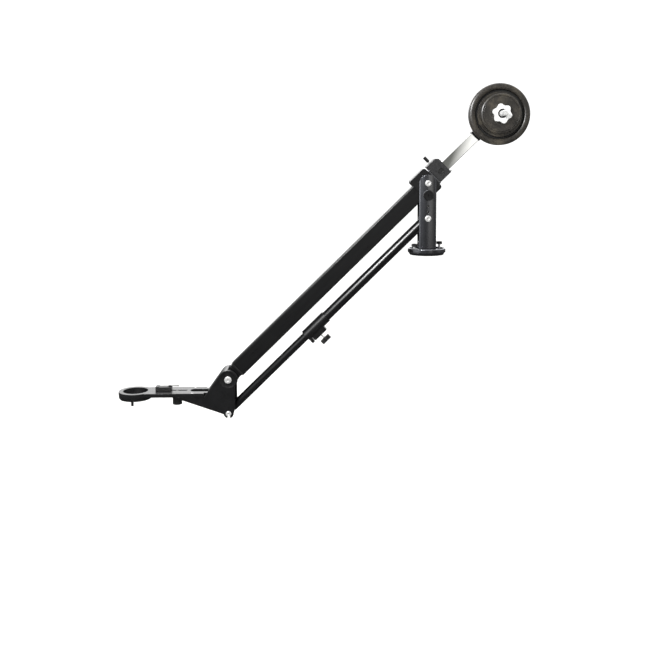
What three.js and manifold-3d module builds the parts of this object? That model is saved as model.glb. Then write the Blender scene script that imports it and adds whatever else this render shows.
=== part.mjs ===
// Camera jib crane: a telescoping boom on a panning column, with a parallel control rod that keeps
// the camera platform level, and disc weights on a trimmed bar behind the tilt pivot.
// Units are millimetres and +Z is up. The origin is the centre of the base flange's flat underside.
// +X points to the weights, -X to the camera, and -Y is the side with the tilt lock knob.

import * as THREE from "three";
import { mergeVertices } from "three/addons/utils/BufferGeometryUtils.js";
import Module from "manifold-3d";

const wasm = await Module();
wasm.setup();
const { Manifold, Mesh: SolidMesh } = wasm;

// Clearances and overruns
const gap = 0.3; // between pieces that touch or run on each other
const sideClearance = 0.6; // between a swinging eye or block and each cheek beside it
const overrun = 2; // how far a cut runs past the face that it opens
const weldTolerance = 0.0001; // vertices nearer than this are one vertex

// Facets
const fineSides = 32;
const roundSides = 20;
const smallSides = 10;
const cornerSteps = 2;
const gripSteps = 6; // per lobe of a grip
const fineGripSteps = 4; // per lobe where the lobes are small

// Linkage
const restDip = 44.3; // degrees that the boom points below level
const armLength = 846.5; // tilt pivot to head pivot, arm retracted
const linkSpacing = 105; // height between the arm's pivots and the rod's pivots
const rodHeight = 111; // rod pivot above the flange's underside

// Base flange
const baseFootRadius = 51;
const baseTaperRadius = 55;
const baseTaperHeight = 8;
const baseRimRadius = 57;
const baseHeight = 20;
const baseRimChamfer = 1.5;
const recessRadius = 52;
const recessDepth = 12;
const hubRadius = 11;
const spindleRadius = 8;
const tripodHoleRadius = 4.8;

// Pan bearing
const thrustWasherThickness = 1.2;
const thrustWasherRadius = 39.5;
const bushWall = 2.2;
const discThickness = 5.2;
const discRimClearance = 1;
const lipThickness = 1.8;
const retainerShankLength = 6.5;
const retainerFlangeRadius = 11;
const retainerFlangeThickness = 1.8;
const retainerHexRadius = 7;
const retainerHexHeight = 4.5;

// Column fork
const columnWidth = 52;
const columnDepth = 60;
const columnFaceRise = 4.5; // how far each outer face bulges at its middle
const forkSlot = 46;
const forkSlotHeight = 40; // the slot's floor above the flange's underside
const retainerPocketRadius = 13;
const retainerPocketDepth = 9;
const footScrewSpacing = 40;
const footScrewRadius = 2.5;
const footScrewHeadRadius = 4.5;
const footScrewHeadHeight = 2.8;
const footScrewLength = 17;
const grubScrewRadius = 3;
const grubScrewLength = 4.4;
const grubScrewSocketRadius = 1.4;
const upperGrubDrop = 69; // below the tilt pivot
const lowerGrubDrop = 87;

// Pivot bolts in the column and the head
const tiltBoltRadius = 5;
const tiltBoltHeadRadius = 9.5;
const rodBoltRadius = 4;
const rodBoltHeadRadius = 9.5;
const headBoltHeadRadius = 11;
const frontRodBoltHeadRadius = 8.5;
const boltHeadHeight = 6;
const boltHeadChamfer = 1;
const boltSocketRadius = 4;
const boltSocketDepth = 3.5;
const nutHeight = 8;
const nutRadius = 10.5;
const boltTip = 2.5; // thread beyond the nut

// Knobs on the column
const panLockX = -39;
const panLockY = -20;
const panDragX = 41;
const panDragY = 20;
const panStemRadius = 3.5;
const panCapRadius = 9;
const panCapHeight = 8.5;
const panCapChamfer = 1.2;
const panLockCapRise = 6; // its underside above the flange's rim
const panDragCapRise = 9.5;
const tiltLockDrop = 35; // below the tilt pivot
const tiltLockStemRadius = 4;
const tiltLockRadius = 16;
const tiltLockThickness = 13;
const tiltLockNeckRadius = 8;
const tiltLockNeckLength = 2;
const tiltLockHoleRadius = 3.5;
const tiltLockHoleDepth = 6;
const tiltLockChamfer = 1;

// Arm tubes
const armTubeHeight = 50;
const armTubeWidth = 36;
const armTubeWall = 2;
const armTubeCorner = 4;
const armTubeShort = 41; // its front end, short of the head pivot
const armTubeTail = 14; // behind the tilt pivot
const innerTubeHeight = 43;
const innerTubeWidth = 29;
const innerTubeWall = 2;
const innerTubeCorner = 3;
const innerTubeTail = 60; // its rear end, from the tilt pivot
const guideBushLength = 30;
const guideBushLip = 4.5;
const armLockFromFront = 42; // lock knob's axis behind the outer tube's front end
const armLockBossRadius = 8;
const armLockBossHeight = 3;
const armLockStemRadius = 3.5;
const armLockRadius = 14;
const armLockThickness = 14;

// Pivot block round the arm's rear end
const blockFront = 38;
const blockRear = 24.5;
const blockHeight = 80;
const blockRise = 1.5; // its middle above the tilt pivot, square to the arm
const blockChamfer = 7;
const sleeveWall = 2; // of the steel sleeve that the tilt bolt clamps

// Clamp for the weight bar
const neckLength = 5.2;
const neckHeight = 54;
const neckDepth = 40;
const clampLength = 43.7;
const clampHeight = 62.5;
const clampRise = 6.5; // its middle above the bar's axis, where the thumb screw's thread is
const clampDepth = 44;
const clampCorner = 3;
const sidePlugRadius = 9;
const sidePlugDepth = 5;
const sidePlugFromClamp = 23.7; // its axis, from the clamp's front face
const clampScrewRadius = 2.5;
const clampScrewHeadRadius = 4.2;
const clampScrewHeadHeight = 4;
const clampScrewReach = 57; // under the head
const clampScrewRise = 20; // off the bar's axis
const clampScrewSide = 12;
const thumbFromClamp = 17;
const thumbStemRadius = 3;
const thumbGripStart = 43; // off the bar's axis
const thumbGripRadius = 5;
const thumbGripLength = 19;
const thumbGripChamfer = 0.5;

// Weight bar, its shaft and the weights
const barSize = 30;
const barWall = 2.5;
const barCorner = 1.5;
const barStart = 15; // behind the tilt pivot
const barEnd = 306;
const shaftBlockLength = 113;
const shaftBlockEndWall = 3.7; // closes the block behind the bar
const shaftBlockHeight = 34;
const shaftBlockDepth = 37;
const shaftBossRadius = 20;
const shaftBossHeight = 4.7;
const shaftFromBarEnd = 16;
const shaftRadius = 8;
const shaftTip = 42; // spare thread beyond the knob's face
const shaftFarTip = 2; // beyond the far nut
const shaftNutRadius = 14;
const shaftNutHeight = 9;
const largeWeightRadius = 90.5;
const largeWeightThickness = 26;
const largeWeightRimWidth = 19.5;
const largeWeightDish = 5;
const largeWeightBevel = 2.5;
const smallWeightRadius = 59.5;
const smallWeightThickness = 19.4;
const smallWeightBevel = 4;
const smallWeightRimWidth = 5;
const smallWeightStep = 1.2;
const smallWeightPadMargin = 1.2; // of the raised pad round the washer
const knobWasherRadius = 15;
const knobWasherThickness = 2.2;
const starRadius = 29;
const starThickness = 16;
const starLobes = 6;
const starLobeShare = 0.19;

// Arm end block and head pivot
const endEyeRadius = 20;
const endSpigotDepth = 32;
const endNeckHeight = 30; // low enough to swing under the web
const endEyeStandoff = 4; // between an eye's round and the tube that it plugs

// Head bracket, measured from the head pivot
const bracketDepth = 76;
const cheekThickness = 7;
const bossRadius = 29;
const bossDishRadius = 26;
const bossDishDepth = 2.5;
const frontSlant = 54.3; // degrees from level
const webThickness = 6.5;
const webTopAngle = 94; // degrees round the pivot where the web ends
const rearEdge = 20;
const rearEdgeCorner = 14; // above the rod pivot, where the rear edge turns in
const lowerBossRadius = 15.5;
const rodNotchWidth = 8.6;
const gussetReach = 161;
const gussetTip = 2.5; // height of the gusset's blunt front end
const gussetMeet = 188.9; // degrees round the rod pivot where its lower edge ends

// Camera platform, measured from the head pivot
const platformDrop = 41; // its top, below the pivot
const platformThickness = 12;
const platformOverhang = 3; // beyond the outer faces of the cheeks
const platformTongueEnd = 42;
const windowWidth = 30;
const windowStart = 51;
const windowLength = 69;
const cameraSlotWidth = 10;
const cameraSlotMargin = 9; // between the window and the slot
const cameraSlotLength = 62;
const ringRadius = 51;
const bowlRadius = 37.5;
const bowlBottomRadius = 34.5;
const ringHeight = 23;
const ringGrooveTop = 14.5; // below the platform's top
const ringGrooveHeight = 2;
const ringGrooveDepth = 1.5;
const ringTaper = 3.5;
const platformScrewReach = 110;
const platformScrewRadius = 2;
const platformScrewHeadRadius = 4;
const platformScrewHeadHeight = 2.4;
const platformScrewLength = 24;
const pegInset = 5.6; // its axis, inside the ring's outer wall
const pegAngle = 269; // degrees round the bowl
const pegRadius = 4;
const pegLength = 12;
const pegTenonRadius = 2.5;
const pegTenonLength = 7;
const pegChamfer = 0.5;

// Latch on the platform
const latchOverlap = 14; // how far it reaches back over the camera slot
const latchLength = 49;
const latchMargin = 12; // between it and the ring
const latchWidth = 22;
const latchPostHeight = 13.8;
const latchMiddleHeight = 12.3;
const latchLeverSeat = 11.6;
const latchPostLength = 11;
const leverHeadRadius = 5.2;
const leverHeadHeight = 4;
const leverRodRadius = 1.5;
const leverReach = 23; // of the rod, past the housing's face
const leverPinRadius = 1.6;
const leverPinLength = 6;
const latchScrewFromEnd = 16;
const latchScrewRadius = 2;
const latchScrewHeadRadius = 4;
const latchScrewHeadHeight = 3;
const latchScrewGrip = 8; // length inside the housing

// Camera screw under the platform
const cameraScrewRest = 32; // from the slot's start
const cameraScrewRadius = 4.7;
const cameraWasherRadius = 12;
const cameraWasherThickness = 1.5;
const cameraKnobRadius = 14.5;
const cameraKnobHeight = 28.8;
const cameraKnobLobes = 8;
const cameraKnobLobeShare = 0.08;

// Control rod
const rodTubeRadius = 15;
const rodTubeWall = 2;
const rodTubeFront = 505; // from the rear rod pivot
const rearEyeRadius = 16;
const rearSpigotEnd = 45;
const rearEyeStandoff = 2; // between the eye's round and the outer tube
const innerRodRadius = 12.5;
const innerRodWall = 2;
const innerRodTail = 52; // its rear end, from the rear rod pivot
const frontEyeRadius = 10.5;
const frontSpigotDepth = 24;
const rodClampRadius = 18;
const rodClampCover = 1; // its front lip starts this far past the outer tube
const rodClampLength = 77;
const rodClampLipLength = 9;
const rodClampBossInset = 3; // behind the front lip
const rodClampBossLength = 48;
const rodClampBossDrop = 30;
const rodClampBossWidth = 22;
const rodClampLipOverhang = 2.5; // of the front lip, past each side of the boss
const rodKnobStemRadius = 3;
const rodKnobStart = 42; // off the rod's axis
const rodKnobRadius = 16;
const rodKnobThickness = 15;
const gripLobes = 5;
const gripLobeShare = 0.16; // of a knob's radius, between its lobes and its hollows

// Places worked out from the sizes above
const recessFloor = baseHeight - recessDepth;
const washerBottom = recessFloor + gap;
const discBottom = washerBottom + thrustWasherThickness + gap;
const discTop = discBottom + discThickness;
const lipBottom = discTop - lipThickness;
const spindleTop = discTop + gap;
const retainerSeat = spindleTop + gap;
const bushInner = hubRadius + gap;
const bushOuter = bushInner + bushWall;
const discBore = bushOuter + gap;
const forkBottom = discTop + gap;
const tiltHeight = rodHeight + linkSpacing;
const tiltLockHeight = tiltHeight - tiltLockDrop;
const eyeHalfWidth = forkSlot / 2 - sideClearance;
const sleeveRadius = tiltBoltRadius + gap + sleeveWall;
const armBoreHeight = armTubeHeight + 2 * gap;
const armBoreWidth = armTubeWidth + 2 * gap;
const barBore = barSize + 2 * gap;
const neckStart = blockRear + gap;
const clampStart = neckStart + neckLength + gap;
const clampEnd = clampStart + clampLength;
const sidePlugFromPivot = clampStart + sidePlugFromClamp;
const thumbFromPivot = clampStart + thumbFromClamp;
const shaftBlockEnd = barEnd + gap + shaftBlockEndWall;
const shaftBlockStart = shaftBlockEnd - shaftBlockLength;
const shaftFromPivot = barEnd - shaftFromBarEnd;
const shaftSide = shaftBlockDepth / 2;
const largeWeightBack = shaftSide + shaftBossHeight + gap;
const smallWeightBack = largeWeightBack + largeWeightThickness + gap;
const knobWasherBack = smallWeightBack + smallWeightThickness + gap;
const starBack = knobWasherBack + knobWasherThickness + gap;
const starFace = starBack + starThickness;
const headHalfDepth = bracketDepth / 2;
const headGapHalf = headHalfDepth - cheekThickness;
const cheekMiddle = headHalfDepth - cheekThickness / 2;
const headEyeHalf = headGapHalf - sideClearance;
const armTubeFront = armLength - armTubeShort;
const armLockFromPivot = armTubeFront - armLockFromFront;
const platformBottom = platformDrop + platformThickness;
const platformHalfWidth = headHalfDepth + platformOverhang;
const windowEnd = windowStart + windowLength;
const cameraSlotStart = windowEnd + cameraSlotMargin;
const cameraSlotEnd = cameraSlotStart + cameraSlotLength;
const cameraScrewReach = cameraSlotStart + cameraScrewRest;
const latchStart = cameraSlotEnd - latchOverlap;
const latchEnd = latchStart + latchLength;
const ringReach = latchEnd + latchMargin + ringRadius;
const pegTurn = THREE.MathUtils.degToRad(pegAngle);
const pegX = (ringRadius - pegInset) * Math.cos(pegTurn) - ringReach;
const pegY = (ringRadius - pegInset) * Math.sin(pegTurn);
const rodBore = rodTubeRadius + gap;
const rodClampFront = rodTubeFront + rodClampCover;
const rodClampRear = rodClampFront - rodClampLength;
const rodClampBossFront = rodClampFront - rodClampBossInset;
const rodClampBossRear = rodClampBossFront - rodClampBossLength;
const rodKnobFromPivot = (rodClampBossFront + rodClampBossRear) / 2;

// Finishes
const finishes = {
  blackAnodised: new THREE.MeshStandardMaterial({ color: "#17171a", roughness: 0.45, metalness: 0.6 }),
  columnAnodised: new THREE.MeshStandardMaterial({ color: "#898a8d", roughness: 0.28, metalness: 1 }),
  castBlack: new THREE.MeshStandardMaterial({ color: "#1b1b1c", roughness: 0.5, metalness: 0.3 }),
  blackPlastic: new THREE.MeshStandardMaterial({ color: "#1a1a1a", roughness: 0.55, metalness: 0 }),
  castIron: new THREE.MeshStandardMaterial({ color: "#57534b", roughness: 0.6, metalness: 0.4 }),
  polishedSteel: new THREE.MeshStandardMaterial({ color: "#d8d4cb", roughness: 0.15, metalness: 1 }),
  brightZinc: new THREE.MeshStandardMaterial({ color: "#dcdcde", roughness: 0.25, metalness: 1 }),
  bronze: new THREE.MeshStandardMaterial({ color: "#a2814e", roughness: 0.4, metalness: 1 }),
  palePlastic: new THREE.MeshStandardMaterial({ color: "#8b8b88", roughness: 0.6, metalness: 0 }),
};

// Solids

// A closed geometry as a solid, with its shared vertices merged and its faces turned outwards.
function solidFrom(geometry) {
  const bare = geometry.clone();
  bare.deleteAttribute("normal");
  bare.deleteAttribute("uv");
  const merged = mergeVertices(bare, weldTolerance);
  const kept = [];
  const index = merged.index.array;
  for (let i = 0; i < index.length; i += 3) {
    const [a, b, c] = [index[i], index[i + 1], index[i + 2]];
    if (a !== b && b !== c && c !== a) kept.push(a, b, c);
  }
  const build = (triangles) =>
    new Manifold(
      new SolidMesh({
        numProp: 3,
        vertProperties: merged.attributes.position.array,
        triVerts: new Uint32Array(triangles),
      }),
    );
  const made = build(kept);
  return made.volume() < 0 ? build([...kept].reverse()) : made;
}

// A solid as a named mesh in a group, at a place given in the group's own frame.
function addPiece(group, name, solid, material, place = [0, 0, 0]) {
  const { vertProperties, triVerts, numProp } = solid.getMesh();
  const points = new Float32Array((vertProperties.length / numProp) * 3);
  for (let i = 0; i < points.length / 3; i += 1) {
    points.set(vertProperties.subarray(i * numProp, i * numProp + 3), i * 3);
  }
  const geometry = new THREE.BufferGeometry();
  geometry.setAttribute("position", new THREE.BufferAttribute(points, 3));
  geometry.setIndex(new THREE.BufferAttribute(triVerts, 1));
  geometry.computeVertexNormals();
  const mesh = new THREE.Mesh(geometry, material);
  mesh.name = name;
  mesh.position.set(...place);
  group.add(mesh);
  return mesh;
}

const join = (first, ...others) => others.reduce((sum, other) => sum.add(other), first);
const cut = (first, ...others) => others.reduce((rest, other) => rest.subtract(other), first);
const outlineOf = (points) => new THREE.Shape(points.map(([x, y]) => new THREE.Vector2(x, y)));

// A box between two values on each axis.
function block([x0, x1], [y0, y1], [z0, z1]) {
  const geometry = new THREE.BoxGeometry(x1 - x0, y1 - y0, z1 - z0);
  geometry.translate((x0 + x1) / 2, (y0 + y1) / 2, (z0 + z1) / 2);
  return solidFrom(geometry);
}

// An outline in the plane across an axis, drawn out along that axis from one value to another.
// Across X the outline is (y, z), across Y it is (x, z), and across Z it is (x, y).
function drawn(axis, outline, from, to, steps = cornerSteps) {
  const geometry = new THREE.ExtrudeGeometry(outline, {
    depth: to - from,
    bevelEnabled: false,
    curveSegments: steps,
  });
  geometry.translate(0, 0, from);
  const columns = {
    x: [new THREE.Vector3(0, 1, 0), new THREE.Vector3(0, 0, 1), new THREE.Vector3(1, 0, 0)],
    y: [new THREE.Vector3(1, 0, 0), new THREE.Vector3(0, 0, 1), new THREE.Vector3(0, 1, 0)],
    z: [new THREE.Vector3(1, 0, 0), new THREE.Vector3(0, 1, 0), new THREE.Vector3(0, 0, 1)],
  }[axis];
  geometry.applyMatrix4(new THREE.Matrix4().makeBasis(...columns));
  return solidFrom(geometry);
}

// A closed profile of [radius, height] points turned round an axis.
function turned(axis, profile, sides = roundSides) {
  const points = [...profile, profile[0]].map(([radius, height]) => new THREE.Vector2(radius, height));
  const geometry = new THREE.LatheGeometry(points, sides);
  if (axis === "z") geometry.rotateX(Math.PI / 2);
  if (axis === "x") geometry.rotateZ(-Math.PI / 2);
  return solidFrom(geometry);
}

// A round bar along an axis, from one value to another.
function bar(axis, radius, from, to, sides = roundSides) {
  return turned(axis, [[0, from], [radius, from], [radius, to], [0, to]], sides);
}

// A round bar with a chamfer at its outer end.
function chamferedBar(axis, radius, from, to, chamfer, sides = roundSides) {
  const inward = to > from ? to - chamfer : to + chamfer;
  const profile = [
    [0, from],
    [radius, from],
    [radius, inward],
    [radius - chamfer, to],
    [0, to],
  ];
  return turned(axis, profile, sides);
}

// A round tube along an axis.
function pipe(axis, outer, inner, from, to, sides = roundSides) {
  return turned(axis, [[inner, from], [outer, from], [outer, to], [inner, to]], sides);
}

function roundedRectangle(width, height, corner) {
  const [x, y] = [width / 2, height / 2];
  const outline = new THREE.Shape();
  outline.absarc(x - corner, y - corner, corner, 0, Math.PI / 2);
  outline.absarc(corner - x, y - corner, corner, Math.PI / 2, Math.PI);
  outline.absarc(corner - x, corner - y, corner, Math.PI, 1.5 * Math.PI);
  outline.absarc(x - corner, corner - y, corner, 1.5 * Math.PI, 2 * Math.PI);
  return outline;
}

// A slot with round ends along X, between its two extreme values.
function roundedSlot(from, to, width) {
  const radius = width / 2;
  const outline = new THREE.Shape();
  outline.absarc(to - radius, 0, radius, -Math.PI / 2, Math.PI / 2);
  outline.absarc(from + radius, 0, radius, Math.PI / 2, 1.5 * Math.PI);
  return outline;
}

// A square tube along X, with round corners inside and out.
function squareTube(height, width, wall, corner, from, to) {
  const outer = drawn("x", roundedRectangle(width, height, corner), from, to);
  const hollow = roundedRectangle(width - 2 * wall, height - 2 * wall, corner / 2);
  return cut(outer, drawn("x", hollow, from - overrun, to + overrun));
}

// A knob's outline with round lobes and hollows between them.
function lobedOutline(radius, lobes, share, steps = gripSteps) {
  const count = lobes * steps;
  const points = [];
  for (let i = 0; i < count; i += 1) {
    const angle = (2 * Math.PI * i) / count;
    const reach = radius * (1 - share / 2 + (share / 2) * Math.cos(lobes * angle));
    points.push([reach * Math.cos(angle), reach * Math.sin(angle)]);
  }
  return outlineOf(points);
}

function hexagon(radius) {
  return outlineOf(
    Array.from({ length: 6 }, (_, i) => [
      radius * Math.cos((i * Math.PI) / 3),
      radius * Math.sin((i * Math.PI) / 3),
    ]),
  );
}

// A pivot bolt along Y with its head at -seat and its thread running past the far side.
function pivotBolt(radius, headRadius, seat) {
  const headFace = seat + gap + boltHeadHeight;
  const head = chamferedBar("y", headRadius, -seat - gap, -headFace, boltHeadChamfer);
  const tip = seat + 2 * gap + nutHeight + boltTip;
  const shank = bar("y", radius, -seat - gap - boltHeadChamfer, tip, smallSides);
  const socket = drawn("y", hexagon(boltSocketRadius), -headFace - overrun, boltSocketDepth - headFace);
  return cut(join(head, shank), socket);
}

// The nut of such a bolt, on the far side.
function pivotNut(radius, seat) {
  const body = drawn("y", hexagon(nutRadius), seat + gap, seat + gap + nutHeight);
  return cut(body, bar("y", radius + gap, seat, seat + 2 * nutHeight, smallSides));
}

// Base
function makeBase(root) {
  const profile = [
    [tripodHoleRadius, 0],
    [baseFootRadius, 0],
    [baseTaperRadius, baseTaperHeight],
    [baseRimRadius, baseTaperHeight],
    [baseRimRadius, baseHeight - baseRimChamfer],
    [baseRimRadius - baseRimChamfer, baseHeight],
    [recessRadius, baseHeight],
    [recessRadius, recessFloor],
    [hubRadius, recessFloor],
    [hubRadius, lipBottom - gap],
    [spindleRadius, lipBottom - gap],
    [spindleRadius, spindleTop],
    [tripodHoleRadius, spindleTop],
  ];
  addPiece(root, "base_flange", turned("z", profile, fineSides), finishes.columnAnodised);

  const washer = pipe("z", thrustWasherRadius, bushOuter, washerBottom, discBottom - gap);
  addPiece(root, "thrust_washer", washer, finishes.palePlastic);

  const flangeTop = retainerSeat + retainerFlangeThickness;
  const shank = bar("z", tripodHoleRadius - gap, retainerSeat - retainerShankLength, flangeTop, smallSides);
  const flange = bar("z", retainerFlangeRadius, retainerSeat, flangeTop);
  const hex = drawn("z", hexagon(retainerHexRadius), flangeTop - gap, flangeTop + retainerHexHeight);
  addPiece(root, "pan_retaining_screw", join(flange, shank, hex), finishes.brightZinc);
}

// Turntable and column
const footScrewPlaces = [-footScrewSpacing / 2, footScrewSpacing / 2];
const panKnobPlaces = [
  [panLockX, panLockY],
  [panDragX, panDragY],
];
const footHeadTop = discBottom + gap + footScrewHeadHeight;

function makeTurntable(column) {
  const profile = [
    [discBore, discBottom],
    [recessRadius - discRimClearance, discBottom],
    [recessRadius - discRimClearance, discTop],
    [spindleRadius + gap, discTop],
    [spindleRadius + gap, lipBottom],
    [discBore, lipBottom],
  ];
  let disc = turned("z", profile, fineSides);
  for (const [x, y] of panKnobPlaces) {
    const hole = bar("z", panStemRadius + gap, discBottom - overrun, discTop + overrun, smallSides);
    disc = cut(disc, hole.translate([x, y, 0]));
  }
  for (const x of footScrewPlaces) {
    const hole = bar("z", footScrewRadius + gap, discBottom - overrun, discTop + overrun, smallSides);
    const seat = bar("z", footScrewHeadRadius + gap, discBottom - overrun, footHeadTop + gap, smallSides);
    disc = cut(disc, hole.translate([x, 0, 0]), seat.translate([x, 0, 0]));
  }
  addPiece(column, "turntable_disc", disc, finishes.columnAnodised);
  const bush = pipe("z", bushOuter, bushInner, discBottom, lipBottom - gap);
  addPiece(column, "pan_bush", bush, finishes.bronze);
}

// The column's section: flat sides and outer faces that bulge as shallow arcs.
function columnSection() {
  const [x, y] = [columnWidth / 2, columnDepth / 2];
  const faceRadius = (x * x + columnFaceRise * columnFaceRise) / (2 * columnFaceRise);
  const half = Math.asin(x / faceRadius);
  const outline = new THREE.Shape();
  outline.absarc(0, y - faceRadius, faceRadius, Math.PI / 2 - half, Math.PI / 2 + half);
  outline.absarc(0, faceRadius - y, faceRadius, 1.5 * Math.PI - half, 1.5 * Math.PI + half);
  return outline;
}

function makeFork(column) {
  const [x, y] = [columnWidth / 2, columnDepth / 2];
  const section = drawn("z", columnSection(), forkBottom, tiltHeight + x, 2 * cornerSteps);
  const side = new THREE.Shape();
  side.moveTo(x, forkBottom - overrun);
  side.lineTo(x, tiltHeight);
  side.absarc(0, tiltHeight, x, 0, Math.PI);
  side.lineTo(-x, forkBottom - overrun);
  let fork = section.intersect(drawn("y", side, -y - overrun, y + overrun, roundSides / 2));
  const slotWalls = [-forkSlot / 2, forkSlot / 2];
  const slot = block([-x - overrun, x + overrun], slotWalls, [forkSlotHeight, tiltHeight + x + overrun]);
  const across = [-y - overrun, y + overrun];
  fork = cut(
    fork,
    slot,
    bar("y", tiltBoltRadius + gap, ...across, smallSides).translate([0, 0, tiltHeight]),
    bar("y", rodBoltRadius + gap, ...across, smallSides).translate([0, 0, rodHeight]),
    bar("y", tiltLockStemRadius + gap, -y - overrun, 0, smallSides).translate([0, 0, tiltLockHeight]),
    bar("z", retainerPocketRadius, forkBottom - overrun, forkBottom + retainerPocketDepth),
  );
  for (const drop of [upperGrubDrop, lowerGrubDrop]) {
    const hole = bar("y", grubScrewRadius + gap, -y - overrun, grubScrewLength + 2 * gap - y, smallSides);
    fork = cut(fork, hole.translate([0, 0, tiltHeight - drop]));
  }
  for (const footX of footScrewPlaces) {
    const depth = discBottom + gap + footScrewLength + gap;
    const hole = bar("z", footScrewRadius + gap, forkBottom - overrun, depth, smallSides);
    fork = cut(fork, hole.translate([footX, 0, 0]));
  }
  addPiece(column, "column_fork", fork, finishes.columnAnodised);
}

function makeColumnFasteners(column) {
  const y = columnDepth / 2;
  footScrewPlaces.forEach((x, i) => {
    const head = bar("z", footScrewHeadRadius, discBottom + gap, footHeadTop, smallSides);
    const shankTop = discBottom + gap + footScrewLength;
    const shank = bar("z", footScrewRadius, footHeadTop - gap, shankTop, smallSides);
    addPiece(column, `column_foot_screw_${i + 1}`, join(head, shank), finishes.brightZinc, [x, 0, 0]);
  });
  const grub = cut(
    bar("y", grubScrewRadius, gap - y, gap + grubScrewLength - y, smallSides),
    drawn("y", hexagon(grubScrewSocketRadius), -y - overrun, gap + grubScrewLength / 2 - y),
  );
  addPiece(column, "upper_grub_screw", grub, finishes.brightZinc, [0, 0, tiltHeight - upperGrubDrop]);
  addPiece(column, "lower_grub_screw", grub, finishes.brightZinc, [0, 0, tiltHeight - lowerGrubDrop]);

  const tiltBolt = pivotBolt(tiltBoltRadius, tiltBoltHeadRadius, y);
  addPiece(column, "tilt_pivot_bolt", tiltBolt, finishes.brightZinc, [0, 0, tiltHeight]);
  addPiece(column, "tilt_pivot_nut", pivotNut(tiltBoltRadius, y), finishes.brightZinc, [0, 0, tiltHeight]);
  const rodBolt = pivotBolt(rodBoltRadius, rodBoltHeadRadius, y);
  addPiece(column, "rod_rear_bolt", rodBolt, finishes.brightZinc, [0, 0, rodHeight]);
  addPiece(column, "rod_rear_nut", pivotNut(rodBoltRadius, y), finishes.brightZinc, [0, 0, rodHeight]);
}

// A plain pan knob: a stem down to the recess floor and a round cap above the flange's rim.
function panKnob(capRise) {
  const capBottom = baseHeight + capRise;
  const stem = bar("z", panStemRadius, recessFloor + gap, capBottom + gap, smallSides);
  const cap = chamferedBar("z", panCapRadius, capBottom, capBottom + panCapHeight, panCapChamfer);
  return join(stem, cap);
}

function makeColumnKnobs(column) {
  addPiece(column, "pan_lock_knob", panKnob(panLockCapRise), finishes.blackPlastic, [panLockX, panLockY, 0]);
  addPiece(column, "pan_drag_knob", panKnob(panDragCapRise), finishes.blackPlastic, [panDragX, panDragY, 0]);

  const seat = columnDepth / 2 + gap;
  const capBack = seat + tiltLockNeckLength;
  const capFace = capBack + tiltLockThickness;
  const knob = cut(
    join(
      bar("y", tiltLockStemRadius, -eyeHalfWidth - gap, -capBack - gap, smallSides),
      bar("y", tiltLockNeckRadius, -seat, -capBack - gap, smallSides),
      chamferedBar("y", tiltLockRadius, -capBack, -capFace, tiltLockChamfer),
    ),
    bar("y", tiltLockHoleRadius, -capFace - overrun, tiltLockHoleDepth - capFace, smallSides),
  );
  addPiece(column, "tilt_lock_knob", knob, finishes.blackPlastic, [0, 0, tiltLockHeight]);
}

// Boom, drawn level with the tilt pivot at the origin of its group and the camera end at -X
function makePivotBlock(boom) {
  const top = blockRise + blockHeight / 2;
  const bottom = blockRise - blockHeight / 2;
  const outline = outlineOf([
    [-blockFront, bottom],
    [blockRear - blockChamfer, bottom],
    [blockRear, bottom + blockChamfer],
    [blockRear, top - blockChamfer],
    [blockRear - blockChamfer, top],
    [blockChamfer - blockFront, top],
    [-blockFront, top - blockChamfer],
  ]);
  const tubePocket = drawn(
    "x",
    roundedRectangle(armBoreWidth, armBoreHeight, armTubeCorner),
    -blockFront - overrun,
    armTubeTail + gap,
  );
  let body = cut(
    drawn("y", outline, -eyeHalfWidth, eyeHalfWidth),
    tubePocket,
    block([0, blockRear + overrun], [-barBore / 2, barBore / 2], [-barBore / 2, barBore / 2]),
    bar("y", sleeveRadius + gap, -eyeHalfWidth - overrun, eyeHalfWidth + overrun),
  );
  const depth = clampEnd + gap - clampScrewReach - gap;
  for (const sign of [-1, 1]) {
    const hole = bar("x", clampScrewRadius + gap, depth, blockRear + overrun, smallSides);
    body = cut(body, hole.translate([0, sign * clampScrewSide, sign * clampScrewRise]));
  }
  addPiece(boom, "pivot_block", body, finishes.castBlack);
  const sleeve = pipe("y", sleeveRadius, tiltBoltRadius + gap, -eyeHalfWidth, eyeHalfWidth);
  addPiece(boom, "tilt_sleeve", sleeve, finishes.bronze);
}

function makeOuterArm(boom) {
  const bossFace = armTubeWidth / 2 + armLockBossHeight;
  const lockBoss = bar("y", armLockBossRadius, armTubeWidth / 2 - armTubeWall, bossFace);
  const tube = cut(
    join(
      squareTube(armTubeHeight, armTubeWidth, armTubeWall, armTubeCorner, -armTubeFront, armTubeTail),
      lockBoss.translate([-armLockFromPivot, 0, 0]),
    ),
    bar("y", sleeveRadius + gap, -armTubeWidth, armTubeWidth),
    bar("y", armLockStemRadius + gap, 0, armTubeWidth, smallSides).translate([-armLockFromPivot, 0, 0]),
  );
  addPiece(boom, "arm_outer_tube", tube, finishes.blackAnodised);

  const boreHeight = innerTubeHeight + 2 * gap;
  const boreWidth = innerTubeWidth + 2 * gap;
  const front = -armTubeFront - gap;
  const lining = drawn(
    "x",
    roundedRectangle(
      armTubeWidth - 2 * armTubeWall - 2 * gap,
      armTubeHeight - 2 * armTubeWall - 2 * gap,
      armTubeCorner / 2,
    ),
    front - guideBushLip / 2,
    guideBushLength - armTubeFront,
  );
  const section = roundedRectangle(armTubeWidth, armTubeHeight, armTubeCorner);
  const lip = drawn("x", section, front - guideBushLip, front);
  const boreSection = roundedRectangle(boreWidth, boreHeight, innerTubeCorner);
  const boreEnds = [front - guideBushLip - overrun, guideBushLength + overrun - armTubeFront];
  const bore = drawn("x", boreSection, ...boreEnds);
  const guide = cut(join(lining, lip), bore);
  addPiece(boom, "arm_guide_bush", guide, finishes.blackPlastic);
}

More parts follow.
